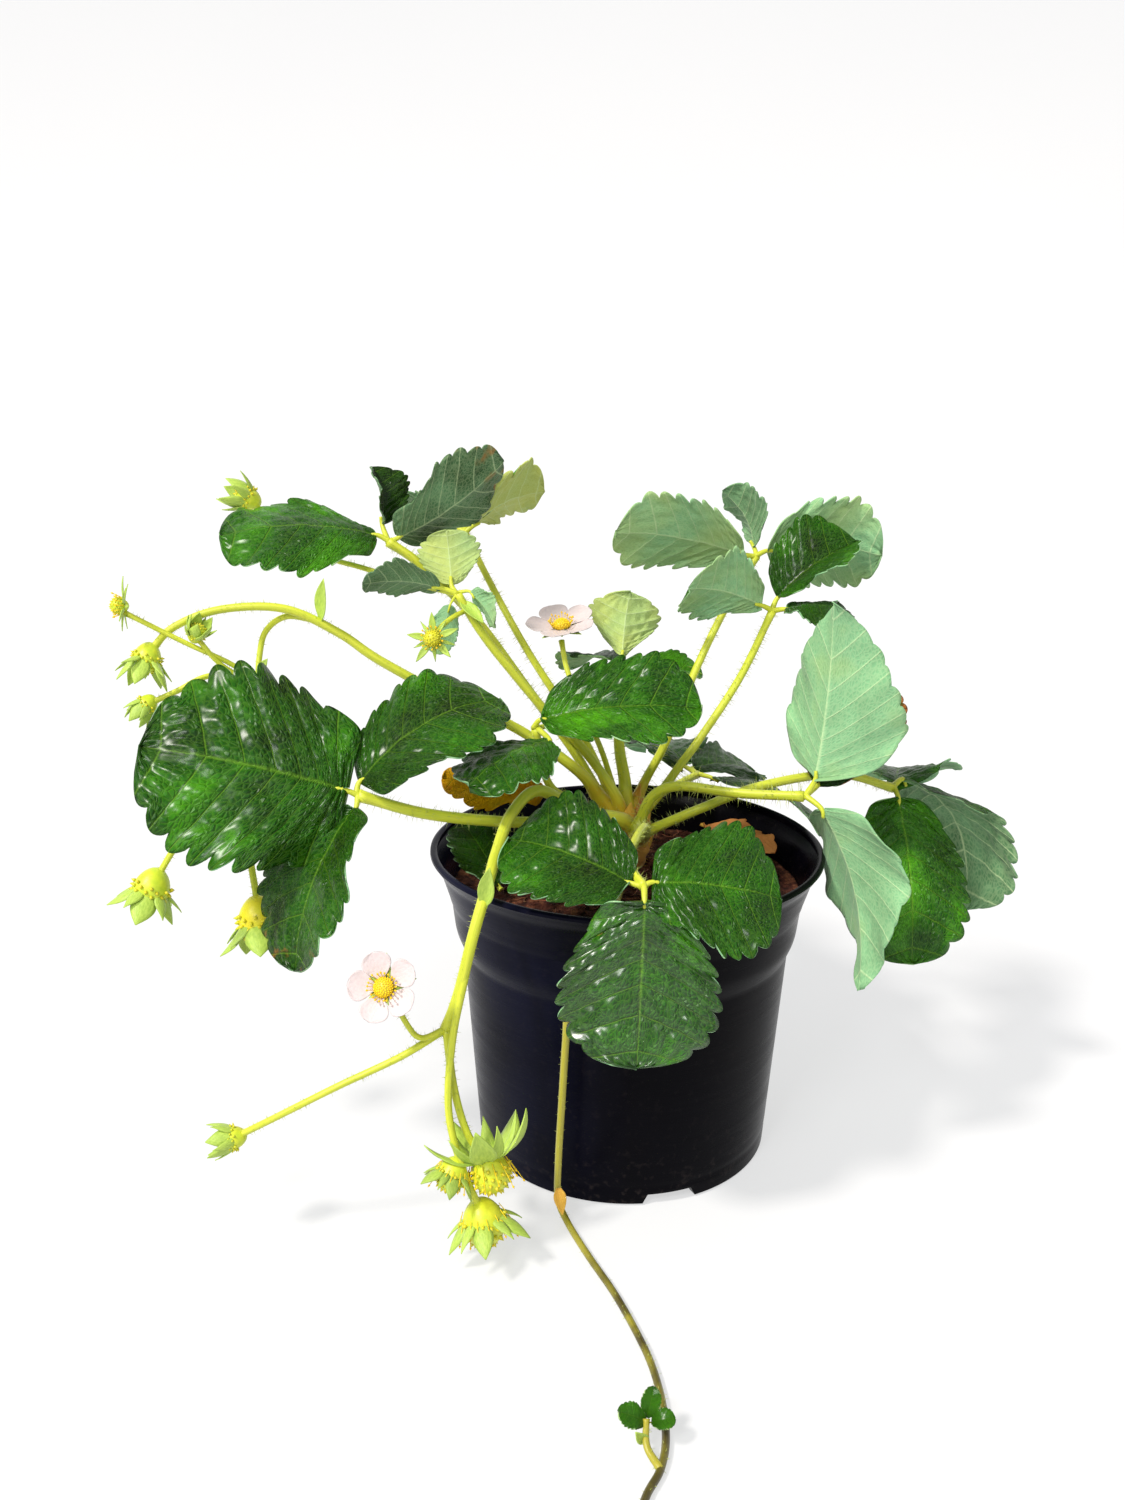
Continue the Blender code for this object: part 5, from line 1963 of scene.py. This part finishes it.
RUNNER = Runner(
    Stem(
        ((2, 0, 104), (0, -14, 107), (-3, -34, 108), (-5, -54, 108), (-8, -66, 106), (-14, -67, 94),
         (-19, -64, 80),
         (-20, -62, 65), (-21, -61, 45), (-22, -58, 22), (-22, -56, 7), (-19, -61, 2.0), (-13, -76, 1.6),
         (-6, -92, 1.6), (-1, -106, 1.6), (3, -120, 1.6), (5, -134, 1.6), (5, -146, 1.6), (3, -155, 1.6),
         (-1, -163, 1.6), (-4, -174, 1.6)), 1.15, 1.0, 0.1, 0.9,
    ),
    Stem(((3, -155, 1.6), (0, -150, 3.5), (0, -146, 8)), 1.0, 0.8, 0.0),
    (
        Leaflet("", (0, -146, 7), (-7, -147, 11), (0.2, -0.6, 0.8), 6, 1, 5, 1, shade=0.75),
        Leaflet("", (0, -145, 7), (2, -142, 14), (0.0, -0.9, 0.3), 5, 1, 10, 1, shade=0.75),
        Leaflet("", (1, -146, 7), (7, -147, 9), (0.0, -0.5, 0.8), 5, 1, 5, 1, shade=0.75),
    ),
)

BLOSSOMS = (
    Blossom("front_flower", (-71, -76, 89), (-0.1, -0.85, 0.5), 10.0, "petals_front_flower", "truss_front"),
    Blossom("back_flower", (-22, 31, 171.5), (-0.1, -0.3, 0.95), 12.0, "petals_back_flower", "truss_back"),
)


# ---------------------------------------------------------------- the stage


@dataclass(frozen=True)
class Studio:
    """The plain floor that sweeps up behind, the soft lights and the camera, in metres."""

    camera_at: tuple = (-0.0214, -0.407, 0.254)
    camera_down_deg: float = 16.1
    camera_roll_deg: float = 0.3
    lens: float = 31.2
    level_from: float = -3.0
    level_to: float = 1.2
    half_width: float = 4.0
    clearance: float = 0.0002

    def floor(self) -> None:
        """A floor that is level to 1.2 m behind the pot, rises from there along a quarter of a circle of 1 m
        and then goes straight up. It lies a hair below the pot, so that the two don't meet."""
        share = np.linspace(0.0, 1.0, 80)
        y = np.interp(share, (0.0, 0.5), (self.level_from, self.level_to))
        turn = np.clip((share - 0.5) / 0.4, 0.0, 1.0) * 0.5 * math.pi
        y = np.where(share > 0.5, self.level_to + np.sin(turn), y)
        z = np.where(share > 0.5, 1.0 - np.cos(turn), 0.0) + np.clip(share - 0.9, 0.0, 1.0) * 20.0
        across = np.linspace(-self.half_width, self.half_width, 30)
        grid = np.stack(np.broadcast_arrays(across[None], y[:, None], z[:, None] - self.clearance), axis=-1)
        mesh = bpy.data.meshes.new("floor")
        mesh.from_pydata(grid.reshape(-1, 3).tolist(), [], grid_quads(80, 30).tolist())
        mesh.polygons.foreach_set("use_smooth", np.ones(len(mesh.polygons), bool))
        mesh.materials.append(Seamless().material())
        made = bpy.data.objects.new("floor", mesh)
        bpy.context.scene.collection.objects.link(made)

    def lights(self) -> None:
        """A pale world, a soft key light from the upper left, a broad weak fill from the right and a small
        panel on the left for the leaves' gloss."""
        world = bpy.data.worlds.new("studio_world")
        world.use_nodes = True
        background = world.node_tree.nodes["Background"]
        background.inputs["Color"].default_value = linear("#f4f5f6")
        background.inputs["Strength"].default_value = 0.5
        bpy.context.scene.world = world
        self.sun("key", 3.1, 8.0, (0.56, 0.42, -0.88))
        self.area("fill", 3.0, 1.2, (0.7, -1.4, 0.9))
        self.area("gloss", 4.4, 0.22, (-0.36, -0.8, 0.78))

    def sun(self, name: str, strength: float, angle_deg: float, towards: tuple) -> None:
        """A sun that shines towards a direction.

        Args:
            name: The lamp's name.
            strength: Its strength in watts per square metre.
            angle_deg: Its width across the sky, which softens shadows.
            towards: The direction that it shines in.
        """
        lamp = bpy.data.lights.new(name, "SUN")
        lamp.energy = strength
        lamp.angle = math.radians(angle_deg)
        lamp.color = linear("#fffaf2")[:3]
        made = bpy.data.objects.new(name, lamp)
        made.rotation_euler = Vector(towards).to_track_quat("-Z", "Y").to_euler()
        bpy.context.scene.collection.objects.link(made)

    def area(self, name: str, power: float, size: float, place: tuple) -> None:
        """A square soft box that looks at the middle of the plant.

        Args:
            name: The lamp's name.
            power: Its power in watts.
            size: Its side in metres.
            place: Where it stands.
        """
        lamp = bpy.data.lights.new(name, "AREA")
        lamp.energy = power
        lamp.size = size
        made = bpy.data.objects.new(name, lamp)
        made.location = place
        made.rotation_euler = (Vector((0.0, 0.0, 0.12)) - Vector(place)).to_track_quat("-Z", "Y").to_euler()
        bpy.context.scene.collection.objects.link(made)

    def camera(self) -> None:
        """The camera in front of the pot, a little above the plant's middle, looking slightly down."""
        lens = bpy.data.cameras.new("camera")
        lens.lens = self.lens
        lens.sensor_width = 36.0
        made = bpy.data.objects.new("camera", lens)
        level = Matrix.Rotation(math.radians(90.0 - self.camera_down_deg), 4, "X")
        roll = Matrix.Rotation(math.radians(self.camera_roll_deg), 4, "Z")
        made.matrix_world = Matrix.Translation(Vector(self.camera_at)) @ level @ roll
        bpy.context.scene.collection.objects.link(made)
        bpy.context.scene.camera = made
        bpy.context.scene.view_settings.view_transform = "Standard"

    def build(self) -> None:
        """Sets up the floor, the lights and the camera."""
        self.floor()
        self.lights()
        self.camera()


def main() -> None:
    """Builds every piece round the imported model."""
    Studio().build()
    pot = NurseryPot()
    pot.build()
    PottingSoil(pot).build()
    Crown().build()
    Leaves(PETIOLES, LEAFLETS).build()
    for number, truss in enumerate(TRUSSES):
        truss.build(500 + 100 * number)
    RUNNER.build()
    for blossom in BLOSSOMS:
        blossom.build()


if __name__ == "__main__":
    main()
